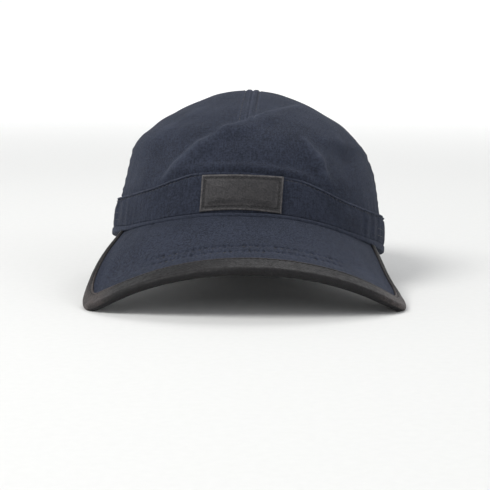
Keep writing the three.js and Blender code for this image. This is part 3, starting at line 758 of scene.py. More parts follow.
def seam_details(point, azimuth):
    """Rise and wear of the crown's sewn seams: the dart, the side seam and the back seam."""
    x, y, z = np.moveaxis(point, -1, 0)
    from_plane = (point - SEAM_POINT) @ SEAM_BACKWARD
    off_dart = np.abs(x - dart_middle(z))
    in_dart = smooth(z, 69.6, 71.6) * (1 - smooth(from_plane, -1.5, -0.3)) * (y < 12)
    dart = 0.6 * (1 - smooth(off_dart, 4.9, 6.4)) - lines(off_dart, DART_GROOVES)
    around = np.arctan2(z - 20, x) * 85
    side = 0.55 * (smooth(from_plane, 0, 0.8) - smooth(from_plane, 6.0, 7.4))
    side += 0.22 * puckers(around, 6.1, 1.4, 11) * np.exp(-np.abs(from_plane - 1) / 4)
    side -= lines(from_plane, SIDE_GROOVES)
    off_back = np.abs(x)
    behind = smooth(from_plane, 6.8, 9)
    back = 0.45 * (1 - smooth(off_back, 3.7, 5.0)) - lines(off_back, BACK_GROOVES)
    back += 0.18 * np.cos(FULL_TURN * (z + y) / 5.3) * np.exp(-off_back / 4)
    clear_of_band = smooth(z - band_top(azimuth), 0.3, 3)
    rise = dart * in_dart + side + back * behind
    wear_and_highlight = lines(off_dart, DART_WEAR) * in_dart + lines(from_plane, SIDE_WEAR)
    wear_and_highlight += lines(off_back, BACK_WEAR) * behind
    return rise * clear_of_band, wear_and_highlight * clear_of_band


def gather_wave(azimuth):
    """Fine gathers of the rear band and the crown just above it, from 0 to 1."""
    angle = np.radians(np.asarray(azimuth, float))
    phase = 58 * angle + 1.9 * np.sin(5 * angle + 0.7) + 1.3 * np.sin(11 * angle)
    return (0.5 + 0.5 * np.cos(phase)) ** 1.5


def crown_rise(point, azimuth):
    """Rise of the crown cloth above the smooth crown, and how pale it is there: wear by the seams and
    gathers, and a painted highlight along the folds and creases.
    """
    folds = on_faces(ridge_rise, point, FOLDS)
    creases = on_faces(ridge_rise, point, CREASES)
    hollows = on_faces(hollow_depth, point, HOLLOWS)
    above_band = point[..., 2] - band_top(azimuth)
    fro = from_front(azimuth)
    shown = smooth(np.abs(point[..., 1]), 4, 24) * smooth(above_band, 0.5, 6)
    sewn, sewn_wear = seam_details(point, azimuth)
    near_band = np.exp(-np.maximum(above_band, 0) / 8) * smooth(above_band, 0.2, 2)
    gathers = (0.25 + 0.75 * smooth(fro, 58, 84)) * near_band * (gather_wave(azimuth) - 0.4)
    uneven = 0.32 * waves(point, 26, 3) + 0.13 * waves(point, 9, 4)
    overhang = OVERHANG * bump(above_band, OVERHANG_UP, 2.6) * (1 - smooth(fro, 17, 36))
    overhang = overhang * smooth(above_band, -0.3, 1)
    rise = (folds + creases - hollows + uneven) * shown + sewn + gathers + overhang
    # Paler on the seams and gathers by wear, and on the creases and folds by a painted highlight where
    # light catches their ridges.
    wear_and_highlight = sewn_wear + shown * (0.05 * folds + 0.5 * creases) + 0.15 * gathers
    return rise, np.clip(wear_and_highlight, 0, 1)


def crown_grid():
    """Outside of the whole crown, as rows of points from the tucked edge to the top."""
    azimuth = np.arange(CROWN_COLUMNS) * 360 / CROWN_COLUMNS
    top = band_top(azimuth)
    tucked = np.linspace(0, 1, CROWN_TUCKED_ROWS, endpoint=False)[:, None]
    shown = np.linspace(0, 1, CROWN_SHOWN_ROWS, endpoint=False)[:, None]
    low_level = level_at(top - CROWN_TUCK)
    top_level = level_at(top)
    levels = np.vstack([
        low_level + (top_level - low_level) * tucked,
        top_level + (TOP_LEVEL - top_level) * shown,
    ])
    azimuths = np.broadcast_to(azimuth, levels.shape)
    point = wall_point(azimuths, levels)
    rise, wear_and_highlight = crown_rise(point, azimuths)
    placed = point + wall_normal(azimuths, levels) * rise[..., None]
    return azimuths, levels, placed, wear_and_highlight


def crown_panel(name, grid, centre, cuts):
    """Cloth of one panel of the crown, cut from the whole along the planes of its seams."""
    azimuths, levels, placed, wear_and_highlight = grid
    rows, columns = levels.shape
    pole = rows * columns
    last = pole - columns
    faces = ring_faces(rows, columns).reshape(-1, 4).tolist()
    faces += [[last + n, last + (n + 1) % columns, pole] for n in range(columns)]
    points = np.vstack([placed.reshape(-1, 3), placed[-1].mean(0)])
    for point, direction in cuts:
        inside = ((points - point) @ direction < 0).tolist()
        faces = [face for face in faces if any(inside[index] for index in face)]
    relative = left_or_right(azimuths - centre)
    radius = section_at(levels)[..., 1:].mean(-1)
    steps = np.linalg.norm(np.diff(placed, axis=0, prepend=placed[:1]), axis=-1)
    meridian = np.cumsum(steps, axis=0)
    u = np.append((np.radians(relative) * radius).ravel(), 0)
    v = np.append(meridian.ravel(), meridian[-1].mean())
    worn_and_lit = np.append(wear_and_highlight.ravel(), 0)
    bm = bmesh.new()
    uv_layer = bm.loops.layers.uv.new("cloth")
    wear_layer = bm.verts.layers.float.new("wear_and_highlight")
    made = {}
    for face in faces:
        for index in face:
            if index not in made:
                made[index] = bm.verts.new(points[index])
                made[index][wear_layer] = worn_and_lit[index]
        new_face = bm.faces.new([made[index] for index in face])
        new_face.smooth = True
        for loop, index in zip(new_face.loops, face):
            loop[uv_layer].uv = (u[index], v[index])
    for point, direction in cuts:
        geometry = bm.verts[:] + bm.edges[:] + bm.faces[:]
        bmesh.ops.bisect_plane(
            bm, geom=geometry, dist=1e-4, plane_co=point, plane_no=direction, clear_outer=True
        )
    for vertex in bm.verts:
        vertex.co = to_row(np.array(vertex.co))
    mesh = bpy.data.meshes.new(name)
    bm.to_mesh(mesh)
    bm.free()
    return mesh


def add_crown():
    grid = crown_grid()
    low = tuple(SEAM_POINT)
    before_seam = (low, tuple(SEAM_BACKWARD))
    behind_seam = (low, tuple(-SEAM_BACKWARD))
    middle = (0, 0, 0)
    panels = [
        ("crown_front", "crown_front_panel", 0, [before_seam]),
        ("crown_rear_left", "crown_rear_left_panel", 225, [behind_seam, (middle, (1, 0, 0))]),
        ("crown_rear_right", "crown_rear_right_panel", 135, [behind_seam, (middle, (-1, 0, 0))]),
    ]
    for name, node, centre, cuts in panels:
        mesh = crown_panel(name, grid, centre, cuts)
        piece = add_piece(mesh, CROWN_COTTON, node)
        cloth = piece.modifiers.new("cloth", "SOLIDIFY")
        cloth.thickness = CROWN_CLOTH * MM
        cloth.offset = -1


# Band and hem


def band_swell(azimuth):
    """Gathers of the rear band and ripples by the ends of the front one."""
    fro = from_front(azimuth)
    rear = GATHER_DEPTH * (0.5 - 0.5 * np.cos(math.pi * REAR_GATHERS * (fro - BAND_JOINT) / REAR_SPAN))
    wave = 0.5 - 0.5 * np.cos(FULL_TURN * (BAND_JOINT - fro) / RIPPLE_PITCH)
    front = RIPPLE_DEPTH * wave * smooth(fro, RIPPLE_START, BAND_JOINT - RIPPLE_PITCH)
    return np.where(fro > BAND_JOINT, rear, front)


def band_face(azimuth, up, down):
    """How far the band's outside stands out, and its wear and painted highlight, by the heights above
    its low edge and below its top edge."""
    fro = from_front(azimuth)
    beside_patch = smooth(fro, 15, 25)
    thickness = BAND_CLOTH * (0.6 + 0.4 * smooth(up, 0, 1.0)) * (0.55 + 0.45 * smooth(down, 0, 0.6))
    run = np.radians(azimuth) * BAND_RADIUS
    thickness = thickness - 0.8 * bump(down, GROOVE_DOWN, 0.5)
    thickness = thickness + (1.0 * beside_patch - 0.6) * bump(down, LIP_DOWN, 0.65)
    thickness = thickness + 0.14 * puckers(run, 3.6, 1.2, 9) * bump(down, GROOVE_DOWN, 2.2)
    rear = smooth(fro, BAND_JOINT, BAND_JOINT + 4)
    middle = smooth(up, 0, 3) * smooth(down, 1, 5)
    fine = 0.75 * (gather_wave(azimuth) - 0.3) * rear * (0.35 + 0.65 * middle)
    low_puckers = 0.1 * np.cos(FULL_TURN * run / 4.4 + 1.0) * bump(up, 0.5, 2.5)
    # A painted highlight along the lip under the top edge beside the patch, where its raised edge
    # catches the light; wear on the gathers and the low edge.
    wear_and_highlight = 0.75 * bump(down, LIP_DOWN, 0.55) * beside_patch
    wear_and_highlight = wear_and_highlight + 0.3 * np.maximum(fine, 0) + 0.15 * bump(up, 0.6, 0.7)
    return GAP + thickness + band_swell(azimuth) + fine + low_puckers, wear_and_highlight


def band_outside(azimuth, height):
    """Points of the band's outside at heights, with its soft uneven lie and upright streaks."""
    up = height - band_low(azimuth)
    down = band_top(azimuth) - height
    out, wear_and_highlight = band_face(azimuth, up, down)
    point = band_point(azimuth, height, out)
    ripple = 0.18 * waves(point, 14, 8) + 0.2 * waves(point * (1, 1, 0.12), 5, 9)
    return band_point(azimuth, height, out + ripple * smooth(up, 0, 4) * smooth(down, 3, 6)), wear_and_highlight


def band_piece(name, node, start, end, columns):
    azimuth = np.linspace(start, end, columns)[:, None]
    low = band_low(azimuth)
    top = band_top(azimuth)
    share = np.linspace(0, 1, BAND_BODY_ROWS)[None, :]
    body = (low + BODY_UP) + (top - BODY_DOWN - low - BODY_UP) * share
    heights = np.hstack([low + np.array(BAND_LOW_ROWS), body, top - np.array(BAND_TOP_ROWS)])
    outer, wear_and_highlight = band_outside(azimuth, heights)
    inner = band_point(azimuth, heights, GAP)
    add_solid(name, node, outer, inner, wear_and_highlight, BAND_COTTON)


def add_bands():
    gap = math.degrees(GAP / JOINT_RADIUS)
    rear_end = 360 - BAND_JOINT - gap
    band_piece("band_front", "front_band", -BAND_JOINT, BAND_JOINT, BAND_FRONT_COLUMNS)
    band_piece("band_rear", "rear_band", BAND_JOINT + gap, rear_end, BAND_REAR_COLUMNS)


def add_hem():
    """Rolled hem: an oval roll that follows the rim, slightly pinched by its stitching."""
    azimuth = (np.arange(HEM_COLUMNS) * 360 / HEM_COLUMNS)[:, None]
    turn = np.radians(np.linspace(-90, 90, HEM_ROWS))[None, :]
    power = 2 / HEM_SQUARENESS
    reach = HEM_REACH + 0.14 * puckers(np.radians(azimuth) * BAND_RADIUS, 4.1, 1.0, 7)
    tall = hem_tall(azimuth) + HEM_TUCK

    def roll(angle):
        across = np.sign(np.cos(angle)) * np.abs(np.cos(angle)) ** power
        up = 0.5 + 0.5 * np.sign(np.sin(angle)) * np.abs(np.sin(angle)) ** power
        return band_point(azimuth, hem_low(azimuth) + tall * up, HEM_MIDDLE + reach * across)

    outer = roll(turn)
    inner = roll(math.pi - turn)
    wear_and_highlight = 0.3 * np.cos(turn) ** 2 * np.ones(azimuth.shape)
    add_solid("hem_roll", "rim_welt", outer, inner, wear_and_highlight, BAND_COTTON, joined=True)


# Peak and its binding


def azimuth_of(x, y):
    return np.degrees(np.arctan2(x, -y))


def sheet_height(x, y):
    arch = read_table(PEAK_ARCH, y)
    return PEAK_ROOT_HEIGHT + PEAK_SLOPE * (y - PEAK_ROOT_Y) - arch * x * x


def peak_root(azimuth):
    root = band_point(azimuth, 0.0, PEAK_SEAM_OUT)
    return root[..., 0] - PEAK_SHIFT, root[..., 1]


def peak_turn(plan_y):
    """How far the peak is turned back about its length, by how far out it is in plan."""
    return -np.radians(PEAK_TURN) * smooth(-plan_y, 75, 140)


def peak_height(x, y):
    """Height of the peak's middle, which meets the hem at its root and follows its sheet outside."""
    azimuth = azimuth_of(x, y)
    root_x, root_y = peak_root(azimuth)
    below = 0.75 + 0.6 * smooth(from_front(azimuth), 40, 60)
    turned_up = root_x * np.sin(peak_turn(root_y))
    seat = hem_low(azimuth) - below + turned_up - sheet_height(root_x, root_y)
    past = np.hypot(x, y) - np.hypot(root_x, root_y)
    return sheet_height(x, y) + seat * (1 - smooth(past, 4, PEAK_SEAT_REACH))


def peak_normal(x, y):
    step = 0.5
    slope_x = (peak_height(x + step, y) - peak_height(x - step, y)) / (2 * step)
    slope_y = (peak_height(x, y + step) - peak_height(x, y - step)) / (2 * step)
    return unit(np.stack([-slope_x, -slope_y, np.ones_like(slope_x)], -1))


def untwist(points, plan_y):
    """The peak's points, turned back about its length."""
    turn = peak_turn(plan_y)
    x = points[..., 0] * np.cos(turn) + points[..., 2] * np.sin(turn) + PEAK_SHIFT
    z = -points[..., 0] * np.sin(turn) + points[..., 2] * np.cos(turn)
    return np.stack([x, points[..., 1], z], -1)


def peak_point(x, y, up):
    base = np.stack([x, y, peak_height(x, y)], -1)
    return untwist(base + peak_normal(x, y) * np.asarray(up)[..., None], y)


def peak_edge(with_roots, count):
    """Plan of the peak's edge from right to left, evenly spaced."""
    t = np.linspace(0, 1, 60)[:, None]
    reach = math.asin(PEAK_FRONT_HALF / PEAK_FRONT_RADIUS)
    swing = np.linspace(reach, -reach, 240)
    centre_y = PEAK_FRONT + PEAK_FRONT_RADIUS
    arc = np.stack([np.sin(swing), -np.cos(swing)], -1) * PEAK_FRONT_RADIUS + (0, centre_y)
    root, start, side_end, corner = PEAK_SIDE
    rooted = root + (start - root) * t[:-1]
    side = start + (side_end - start) * t[:-1]
    bend = (1 - t) ** 2 * side_end + 2 * t * (1 - t) * corner + t**2 * arc[0]
    right = np.vstack([rooted if with_roots else rooted[:0], side, bend[:-1]])
    edge = np.vstack([right, arc, right[::-1] * (-1, 1)])
    run = run_lengths(edge)
    return along(edge, run, np.linspace(0, run[-1], count))


def edge_direction(edge):
    """Direction of the edge at each of its points."""
    before = np.vstack([edge[:1], edge[:-1]])
    after = np.vstack([edge[1:], edge[-1:]])
    return unit(after - before)


def edge_distance(points, edge, batch=4000):
    """Plan distance of each point from the edge, and the run along the edge nearest to it."""
    start = edge[:-1]
    step = np.diff(edge, axis=0)
    run = run_lengths(edge)
    lengths = (step**2).sum(1)
    distances = np.empty(len(points))
    runs = np.empty(len(points))
    for low in range(0, len(points), batch):
        part = points[low : low + batch]
        off = part[:, None] - start
        t = np.clip((off * step).sum(-1) / lengths, 0, 1)
        gap = np.linalg.norm(off - step * t[..., None], axis=-1)
        nearest = gap.argmin(1)
        rows = np.arange(len(part))
        distances[low : low + batch] = gap[rows, nearest]
        runs[low : low + batch] = run[nearest] + t[rows, nearest] * np.sqrt(lengths[nearest])
    return distances, runs


def add_peak():
    """Cloth covered board with two concentric rows of stitching that dimple it."""
    edge = peak_edge(True, PEAK_COLUMNS)
    root_x, root_y = peak_root(azimuth_of(edge[:, 0], edge[:, 1]))
    share = np.linspace(0, 1, PEAK_STATIONS)[None, :]
    x = root_x[:, None] + (edge[:, 0] - root_x)[:, None] * share
    y = root_y[:, None] + (edge[:, 1] - root_y)[:, None] * share
    distance, run = edge_distance(np.stack([x, y], -1).reshape(-1, 2), peak_edge(False, 300))
    distance = distance.reshape(x.shape)
    run = run.reshape(x.shape)
    dimples = np.zeros(x.shape)
    quilting = np.zeros(x.shape)
    sewn = 1 - smooth(np.abs(x), PEAK_ROWS_HALF - 12, PEAK_ROWS_HALF)
    pull = 0.5 + 0.5 * np.cos(FULL_TURN * run / PEAK_PITCH)
    for inset in PEAK_ROWS_IN:
        drawn = sewn * (0.7 + 0.3 * np.sin(0.43 * run + inset) * np.sin(0.11 * run))
        dimples += bump(distance, inset, 1.0) * (0.15 + 1.1 * pull) * drawn
        quilting += bump(distance, inset, 2.2) * 0.3 * pull * drawn
    flat = np.stack([x, y, np.zeros_like(x)], -1)
    uneven = 0.12 * waves(flat, 17, 21) + 0.06 * waves(flat, 6, 22)
    uneven = uneven * smooth(distance, 4, 12) * smooth(np.hypot(x, y), 96, 106)
    half_board = PEAK_BOARD / 2 * (0.35 + 0.65 * smooth(distance, 0, 1.2))
    outer = peak_point(x, y, half_board - dimples - quilting + uneven)
    inner = peak_point(x, y, -half_board + 0.7 * dimples + quilting + uneven)
    wear_and_highlight = 0.35 * bump(distance, PEAK_ROWS_IN[0] - 2.6, 1.6) + 0.3 * bump(distance, 9, 1.5)
    add_solid("peak_cloth", "peak", outer, inner, wear_and_highlight * (1 - pull), PEAK_COTTON)


def binding_frame(edge):
    """Direction outward from the peak's edge, and the width of the leather's flap over it."""
    run = edge_direction(edge)
    normal = peak_normal(edge[:, 0], edge[:, 1])
    outward = np.stack([-run[:, 1], run[:, 0], np.zeros(len(edge))], -1)
    outward = unit(outward - normal * (outward * normal).sum(-1, keepdims=True))
    return outward, FLAP_NARROW + FLAP_WIDENS * smooth(-edge[:, 1], 100, 140)


def lip_scale(flap):
    """Share by which a narrow flap draws its lip together."""
    return np.minimum(1, flap / 5)


def lip_height(inward, flap, run):
    """Height of the leather above the clear radius, by the distance from the flap's inner edge."""
    scale = lip_scale(flap)
    height = 0.35 + 0.45 * smooth(inward, 0, 0.35) - 0.1 * smooth(inward, 0, 2)
    height = height - 0.5 * bump(inward, LIP_ROW * scale, 0.42 * scale)
    height = height + 0.3 * smooth(inward, 1.9 * scale, 3.2 * scale)
    pull = np.cos(FULL_TURN * run / BINDING_PITCH)
    return height + 0.07 * pull * bump(inward, LIP_ROW * scale, 1.3)


def add_binding():
    """Leather folded round the peak's edge, with a stitched lip above and below."""
    edge = peak_edge(False, BINDING_COLUMNS)
    outward, flap = binding_frame(edge)
    run = run_lengths(edge)[:, None]
    clear = PEAK_BOARD / 2 + BINDING_CLEARANCE
    flap = flap[:, None]
    under = flap * UNDER_SHARE
    lip = np.linspace(0, 0.5, LIP_STATIONS, endpoint=False)
    top_in = np.concatenate([lip, np.linspace(0.5, 1, LIP_STATIONS // 2)])[None, :]
    low_in = np.linspace(1, 0, LIP_STATIONS)[None, :]
    turn = np.radians(np.linspace(90, -90, EDGE_STATIONS)[1:-1])[None, :]
    top_out = -flap + flap * top_in
    low_out = -under * (1 - low_in)
    crease = 0.13 * waves(np.stack([*edge.T, 0 * edge[:, 0]], -1), 7, 31)[:, None]
    corner = smooth(np.abs(edge[:, :1]), 70, 88) * smooth(-edge[:, 1:], 96, 122)
    fat = BINDING_FULL + crease * (0.35 + 0.65 * corner)
    ones = np.ones_like(flap)

    def lip_up(width, inward):
        rise = lip_height(width * inward, width, run) + 0.08 * smooth(inward, 0.3, 1)
        blend = smooth(inward, 0.35, 1)
        return clear + rise * (1 - blend) + fat * blend

    def lip_under(width, inward):
        return clear - LIP_CLOSED * (1 - smooth(width * inward, 0, 2))

    def place(out, up):
        x = edge[:, :1] + outward[:, :1] * out
        y = edge[:, 1:] + outward[:, 1:2] * out
        return peak_point(x, y, up)

    outs = np.hstack([top_out, (clear + fat) * np.cos(turn), low_out])
    ups = np.hstack([lip_up(flap, top_in), (clear + fat) * np.sin(turn), -lip_up(under, low_in)])
    inner_outs = np.hstack([top_out, clear * np.cos(turn) * ones, low_out])
    inner_ups = np.hstack([
        lip_under(flap, top_in), clear * np.sin(turn) * ones, -lip_under(under, low_in),
    ])
    scale = lip_scale(flap)
    # Painted highlight on the top lip and the top face of the leather, and on the upper half of its
    # roll, where light from above falls; the lip underneath and the corners are paler from wear.
    top_lip_highlight = 0.9 * bump(flap * top_in, 0.5 * scale, 0.5) + 0.1 * smooth(top_in, 0.35, 1)
    roll_top_highlight = 0.12 * np.maximum(np.sin(turn), 0) ** 3 * ones
    low_wear = 0.4 * bump(under * low_in, 0.6 * scale, 0.6)
    wear_and_highlight = np.hstack([top_lip_highlight, roll_top_highlight, low_wear])
    wear_and_highlight = np.clip(wear_and_highlight * (0.4 + 0.8 * corner) + 0.6 * corner * (ups > 0), 0, 1)
    wear_and_highlight = wear_and_highlight * smooth(run, 2, 10) * smooth(run[-1] - run, 2, 10)
    outer = place(outs, ups)
    inner = place(inner_outs, inner_ups)
    add_solid("binding_fold", "peak_binding", outer, inner, wear_and_highlight, BINDING_LEATHER)


# Patch


def patch_point(across, up, out):
    """Point of the patch, which lies on the band and arches and slants with it."""
    across, up, out = np.broadcast_arrays(across, up, out)
    from_middle = 1 - (2 * across / PATCH_WIDTH) ** 2
    low_arch, top_arch = PATCH_ARCH
    arch = low_arch + (top_arch - low_arch) * (up / PATCH_TALL + 0.5)
    slant = math.tan(math.radians(PATCH_SLANT))
    height = PATCH_HEIGHT + up + across * slant + arch * (from_middle - 1)
    return band_point(azimuth_on(level_at(height), PATCH_X + across), height, PATCH_SEAT + out)


def spaced(size, count):
    """Stations from one edge to the other, closer together by the edges."""
    t = np.linspace(-1, 1, count)
    return size / 2 * (0.55 * t + 0.45 * np.sin(t * math.pi / 2))


def patch_thickness(inset, place):
    thick = PATCH_EDGE * (0.5 + 0.5 * smooth(inset, 0, 0.45))
    thick = thick - 0.4 * bump(inset, PATCH_STITCH_IN, 0.6)
    thick = thick + PATCH_PUFF * smooth(inset, 2.2, 7.5)
    return thick + (0.1 * waves(place, 7, 41) + 0.12 * waves(place, 16, 42)) * smooth(inset, 2.5, 5)


def add_patch():
    across = spaced(PATCH_WIDTH, PATCH_COLUMNS)[:, None]
    up = spaced(PATCH_TALL, PATCH_ROWS)[None, :]
    inset = np.minimum(PATCH_WIDTH / 2 - np.abs(across), PATCH_TALL / 2 - np.abs(up))
    flat = np.stack(np.broadcast_arrays(across, up, 0.0 * across), -1)
    outer = patch_point(across, up, patch_thickness(inset, flat))
    inner = patch_point(across, up, 0.0)
    wear_and_highlight = bump(inset, 0.3, 0.6) + 0.2 * bump(inset, 3.4, 0.9) + 0.15 * smooth(inset, 3, 7)
    add_solid("patch_hide", "leather_patch", outer, inner, wear_and_highlight, PATCH_LEATHER)


# Stitches


def stitches(path, normals, pitch, length, width):
    """Points, faces and UV corners of a row of stitches along a path, each a short plump thread
    that dips into the cloth at both ends."""
    run = run_lengths(path)
    count = max(int(run[-1] / pitch), 1)
    centres = (np.arange(count) + 0.5) * run[-1] / count
    half = length / 2
    middle = along(path, run, centres)
    ahead = along(path, run, np.minimum(centres + half, run[-1]))
    normal = unit(along(normals, run, centres))
    forward = unit(ahead - along(path, run, np.maximum(centres - half, 0)))
    beside = unit(np.cross(normal, forward))
    stations = np.array([-1, -0.8, -0.35, 0.35, 0.8, 1])
    fatness = np.array([0.45, 0.85, 1, 1, 0.85, 0.45])
    lift = np.array([-0.9, -0.25, 0.25, 0.25, -0.25, -0.9]) * width * 0.5
    turn = np.linspace(0, FULL_TURN, 6, endpoint=False)
    side = np.cos(turn) * fatness[:, None] * width / 2
    up = np.sin(turn) * fatness[:, None] * width / 2 + lift[:, None]
    middle, forward, beside, normal = (each[:, None, None] for each in (middle, forward, beside, normal))
    points = middle + forward * (stations * half)[:, None, None]
    points = (points + beside * side[..., None] + normal * up[..., None]).reshape(-1, 3)
    ring = len(turn)
    size = ring * len(stations)
    ends = [list(range(ring))[::-1], list(range(size - ring, size))]
    single = ring_faces(len(stations), ring).reshape(-1, 4).tolist() + ends
    faces = [[index + n * size for index in face] for n in range(count) for face in single]
    corner = [(station * half, angle) for station in stations for angle in turn]
    corners = [corner[index] for face in single for index in face] * count
    return points, faces, corners


def add_stitches(name, rows, size, material):
    points = np.empty((0, 3))
    faces = []
    corners = []
    for path, normals in rows:
        row_points, row_faces, row_corners = stitches(path, normals, *size)
        faces += [[index + len(points) for index in face] for face in row_faces]
        corners += row_corners
        points = np.vstack([points, row_points])
    mesh = make_mesh(name, points, faces, corners, np.zeros(len(points)))
    add_piece(mesh, material, sharp=80)


def crown_path(azimuth, level):
    """Path on the crown cloth with its normals."""
    point = wall_point(azimuth, level)
    normal = wall_normal(azimuth, level)
    rise, _ = crown_rise(point, azimuth)
    return point + normal * rise[..., None], normal


def dart_row(side):
    level = np.linspace(level_at(71.2), 13.3, 200)
    x = dart_middle(section_at(level)[..., 0]) + side * DART_ROW
    return crown_path(azimuth_on(level, x), level)


def side_row(offset, side):
    """Row of stitches along one side of the side seam, an offset behind it."""
    level = np.linspace(level_at(24.5), 13.4, 400)
    section = section_at(level)
    above = section[..., 0] - SEAM_POINT[2]
    y = SEAM_POINT[1] + (offset - above * SEAM_BACKWARD[2]) / SEAM_BACKWARD[1]
    length = np.where(y < 0, section[..., 3], section[..., 4])
    width = section[..., 1] if side < 0 else section[..., 2]
    share = np.clip(1 - (np.abs(y) / length) ** SQUARENESS, 0, 1)
    x = side * width * share ** (1 / SQUARENESS)
    reached = np.abs(y) < length * 0.995
    return crown_path(azimuth_on(level, x, y > 0)[reached], level[reached])


def back_row(side):
    level = np.linspace(level_at(23.8), 12.6, 300)
    x = np.full(level.shape, side * BACK_ROW)
    return crown_path(azimuth_on(level, x, True), level)


def band_row(start, end, down=None, up=None):
    """Row of stitches round the band, down from its top edge or up from its low edge."""
    azimuth = np.linspace(start, end, 900)
    height = band_low(azimuth) + up if down is None else band_top(azimuth) - down
    path, _ = band_outside(azimuth, height)
    return path, unit(wall_normal(azimuth, level_at(height)) * (1, 1, 0))


def peak_path(plan, side, up):
    """Path on the top or the underside of the peak with its normals."""
    x, y = plan.T
    return peak_point(x, y, np.full(len(plan), side * up)), side * peak_normal(x, y)


def peak_row(inset, side):
    """Row of stitches an inset from the peak's edge, on its top or its underside."""
    edge = peak_edge(False, 500)
    run = edge_direction(edge)
    plan = edge + np.stack([run[:, 1], -run[:, 0]], -1) * inset
    distance, _ = edge_distance(plan, edge)
    root_x, root_y = peak_root(azimuth_of(plan[:, 0], plan[:, 1]))
    clear = np.hypot(plan[:, 0], plan[:, 1]) > np.hypot(root_x, root_y) + 4.5
    plan = plan[(distance > inset - 0.15) & clear & (np.abs(plan[:, 0]) < PEAK_ROWS_HALF)]
    return peak_path(plan, side, PEAK_BOARD / 2 - PEAK_THREAD_DOWN)


def binding_row(side):
    """Row of stitches along the leather's lip, on its top or its underside."""
    edge = peak_edge(False, 500)[6:-6]
    outward, flap = binding_frame(edge)
    reach = flap if side > 0 else flap * UNDER_SHARE
    out = -reach + LIP_ROW * lip_scale(reach)
    plan = edge + outward[:, :2] * out[:, None]
    return peak_path(plan, side, PEAK_BOARD / 2 + BINDING_CLEARANCE + LIP_CLOSED)


def patch_rows():
    """Rows of stitches along the four edges of the patch."""
    wide = PATCH_WIDTH / 2 - PATCH_STITCH_IN
    tall = PATCH_TALL / 2 - PATCH_STITCH_IN
    corners = [(-wide, -tall), (wide, -tall), (wide, tall), (-wide, tall), (-wide, -tall)]
    rows = []
    for (x0, y0), (x1, y1) in zip(corners, corners[1:]):
        across = np.linspace(x0, x1, 120)
        up = np.linspace(y0, y1, 120)
        path = patch_point(across, up, PATCH_STITCH_OUT)
        rows.append((path, unit(patch_point(across, up, 2.0) - path)))
    return rows


def add_all_stitches():
    sides = (-1, 1)
    rows = [dart_row(side) for side in sides] + [back_row(side) for side in sides]
    rows += [side_row(offset, side) for offset in SIDE_ROWS for side in sides]
    add_stitches("crown_stitches", rows, CROWN_STITCH, NAVY_THREAD)
    front = (-BAND_JOINT + 0.5, BAND_JOINT - 0.5)
    rear = (BAND_JOINT + 1, 360 - BAND_JOINT - 1)
    rows = [band_row(*front, down=GROOVE_DOWN), band_row(*rear, down=GROOVE_DOWN)]
    rows += [band_row(*rear, up=up) for up in REAR_ROWS_UP]
    add_stitches("band_stitches", rows, BAND_STITCH, NAVY_THREAD)
    rows = [peak_row(inset, side) for inset in PEAK_ROWS_IN for side in (1, -1)]
    add_stitches("peak_stitches", rows, PEAK_STITCH, NAVY_THREAD)
    rows = [binding_row(side) for side in (1, -1)]
    add_stitches("binding_stitches", rows, BINDING_STITCH, DARK_THREAD)
    add_stitches("patch_stitches", patch_rows(), PATCH_STITCH, DARK_THREAD)


# Studio: a pale floor that rises into a backdrop all round, soft lights, and the camera


def floor_paper():
    """Pale paper with faint fibres, which glows softly far from the cap."""
    paper = Surface("pale_paper")
    place = paper.node("TexCoord").outputs["Object"]
    fibres = paper.noise(place, 220.0, 3.0)
    distance = paper.node("VectorMath", {"operation": "LENGTH"}, Vector=place).outputs["Value"]
    paper.shade(
        Base_Color=paper.mix(fibres, (0.72, 0.72, 0.71), (0.76, 0.76, 0.75)),
        Roughness=0.9,
        Specular_IOR_Level=0.1,
        Emission_Color=(1, 1, 1, 1),
        Emission_Strength=paper.ramp(distance, 0.7, 2.6, 0.0, 0.55),
    )
    return paper.material


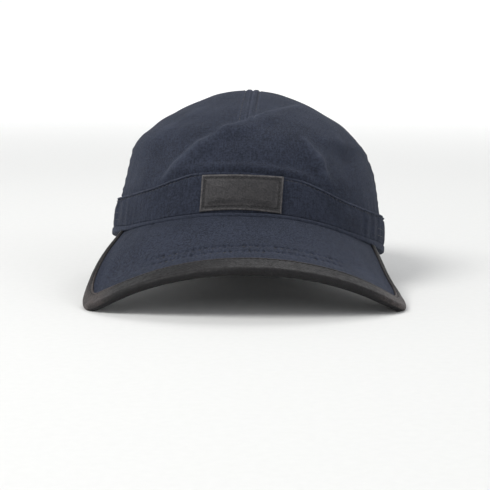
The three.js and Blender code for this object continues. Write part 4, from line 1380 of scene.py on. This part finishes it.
def add_floor():
    rise = np.radians(np.arange(0, 91, 5))
    reach = FLOOR_REACH + COVE_RADIUS * np.sin(rise)
    height = COVE_RADIUS - COVE_RADIUS * np.cos(rise)
    turn = FULL_TURN * np.arange(FLOOR_COLUMNS) / FLOOR_COLUMNS
    x = np.outer(reach, np.cos(turn))
    y = np.outer(reach, np.sin(turn))
    z = np.outer(height, np.ones(FLOOR_COLUMNS))
    rings = np.stack([x, y, z], -1).reshape(-1, 3)
    middle = len(rings)
    fan = [(middle, n, (n + 1) % FLOOR_COLUMNS) for n in range(FLOOR_COLUMNS)]
    walls = ring_faces(len(rise), FLOOR_COLUMNS)[..., ::-1].reshape(-1, 4).tolist()
    mesh = bpy.data.meshes.new("studio_floor")
    mesh.from_pydata(np.vstack([rings, (0, 0, 0)]).tolist(), [], fan + walls)
    mesh.polygons.foreach_set("use_smooth", np.ones(len(mesh.polygons), bool))
    mesh.materials.append(floor_paper())
    floor = new_object(mesh)


def add_lights():
    world = bpy.data.worlds.new("soft_room")
    world.use_nodes = True
    background = world.node_tree.nodes["Background"]
    background.inputs["Color"].default_value = ROOM_COLOUR
    background.inputs["Strength"].default_value = ROOM_STRENGTH
    bpy.context.scene.world = world
    for name, place, size, power, colour in LIGHTS:
        data = bpy.data.lights.new(name, "AREA")
        data.shape = "DISK"
        data.size = size
        data.energy = power
        data.color = colour
        lamp = new_object(data)
        lamp.location = place
        toward = Vector(LIGHT_AIM) - Vector(place)
        lamp.rotation_euler = toward.to_track_quat("-Z", "Y").to_euler()
    bpy.context.scene.view_settings.view_transform = "Standard"


def add_camera():
    turn = math.radians(CAMERA_AZIMUTH)
    rise = math.radians(CAMERA_ELEVATION)
    back = Vector((math.sin(turn) * math.cos(rise), -math.cos(turn) * math.cos(rise), math.sin(rise)))
    data = bpy.data.cameras.new("camera")
    data.lens = CAMERA_LENS
    data.sensor_width = CAMERA_SENSOR
    data.shift_x, data.shift_y = CAMERA_SHIFT
    camera = new_object(data)
    camera.location = Vector(RIM_CENTRE) * MM + back * CAMERA_DISTANCE
    camera.rotation_euler = back.to_track_quat("Z", "Y").to_euler()
    bpy.context.scene.camera = camera


add_camera()
add_crown()
add_bands()
add_hem()
add_peak()
add_binding()
add_patch()
add_all_stitches()
add_floor()
add_lights()
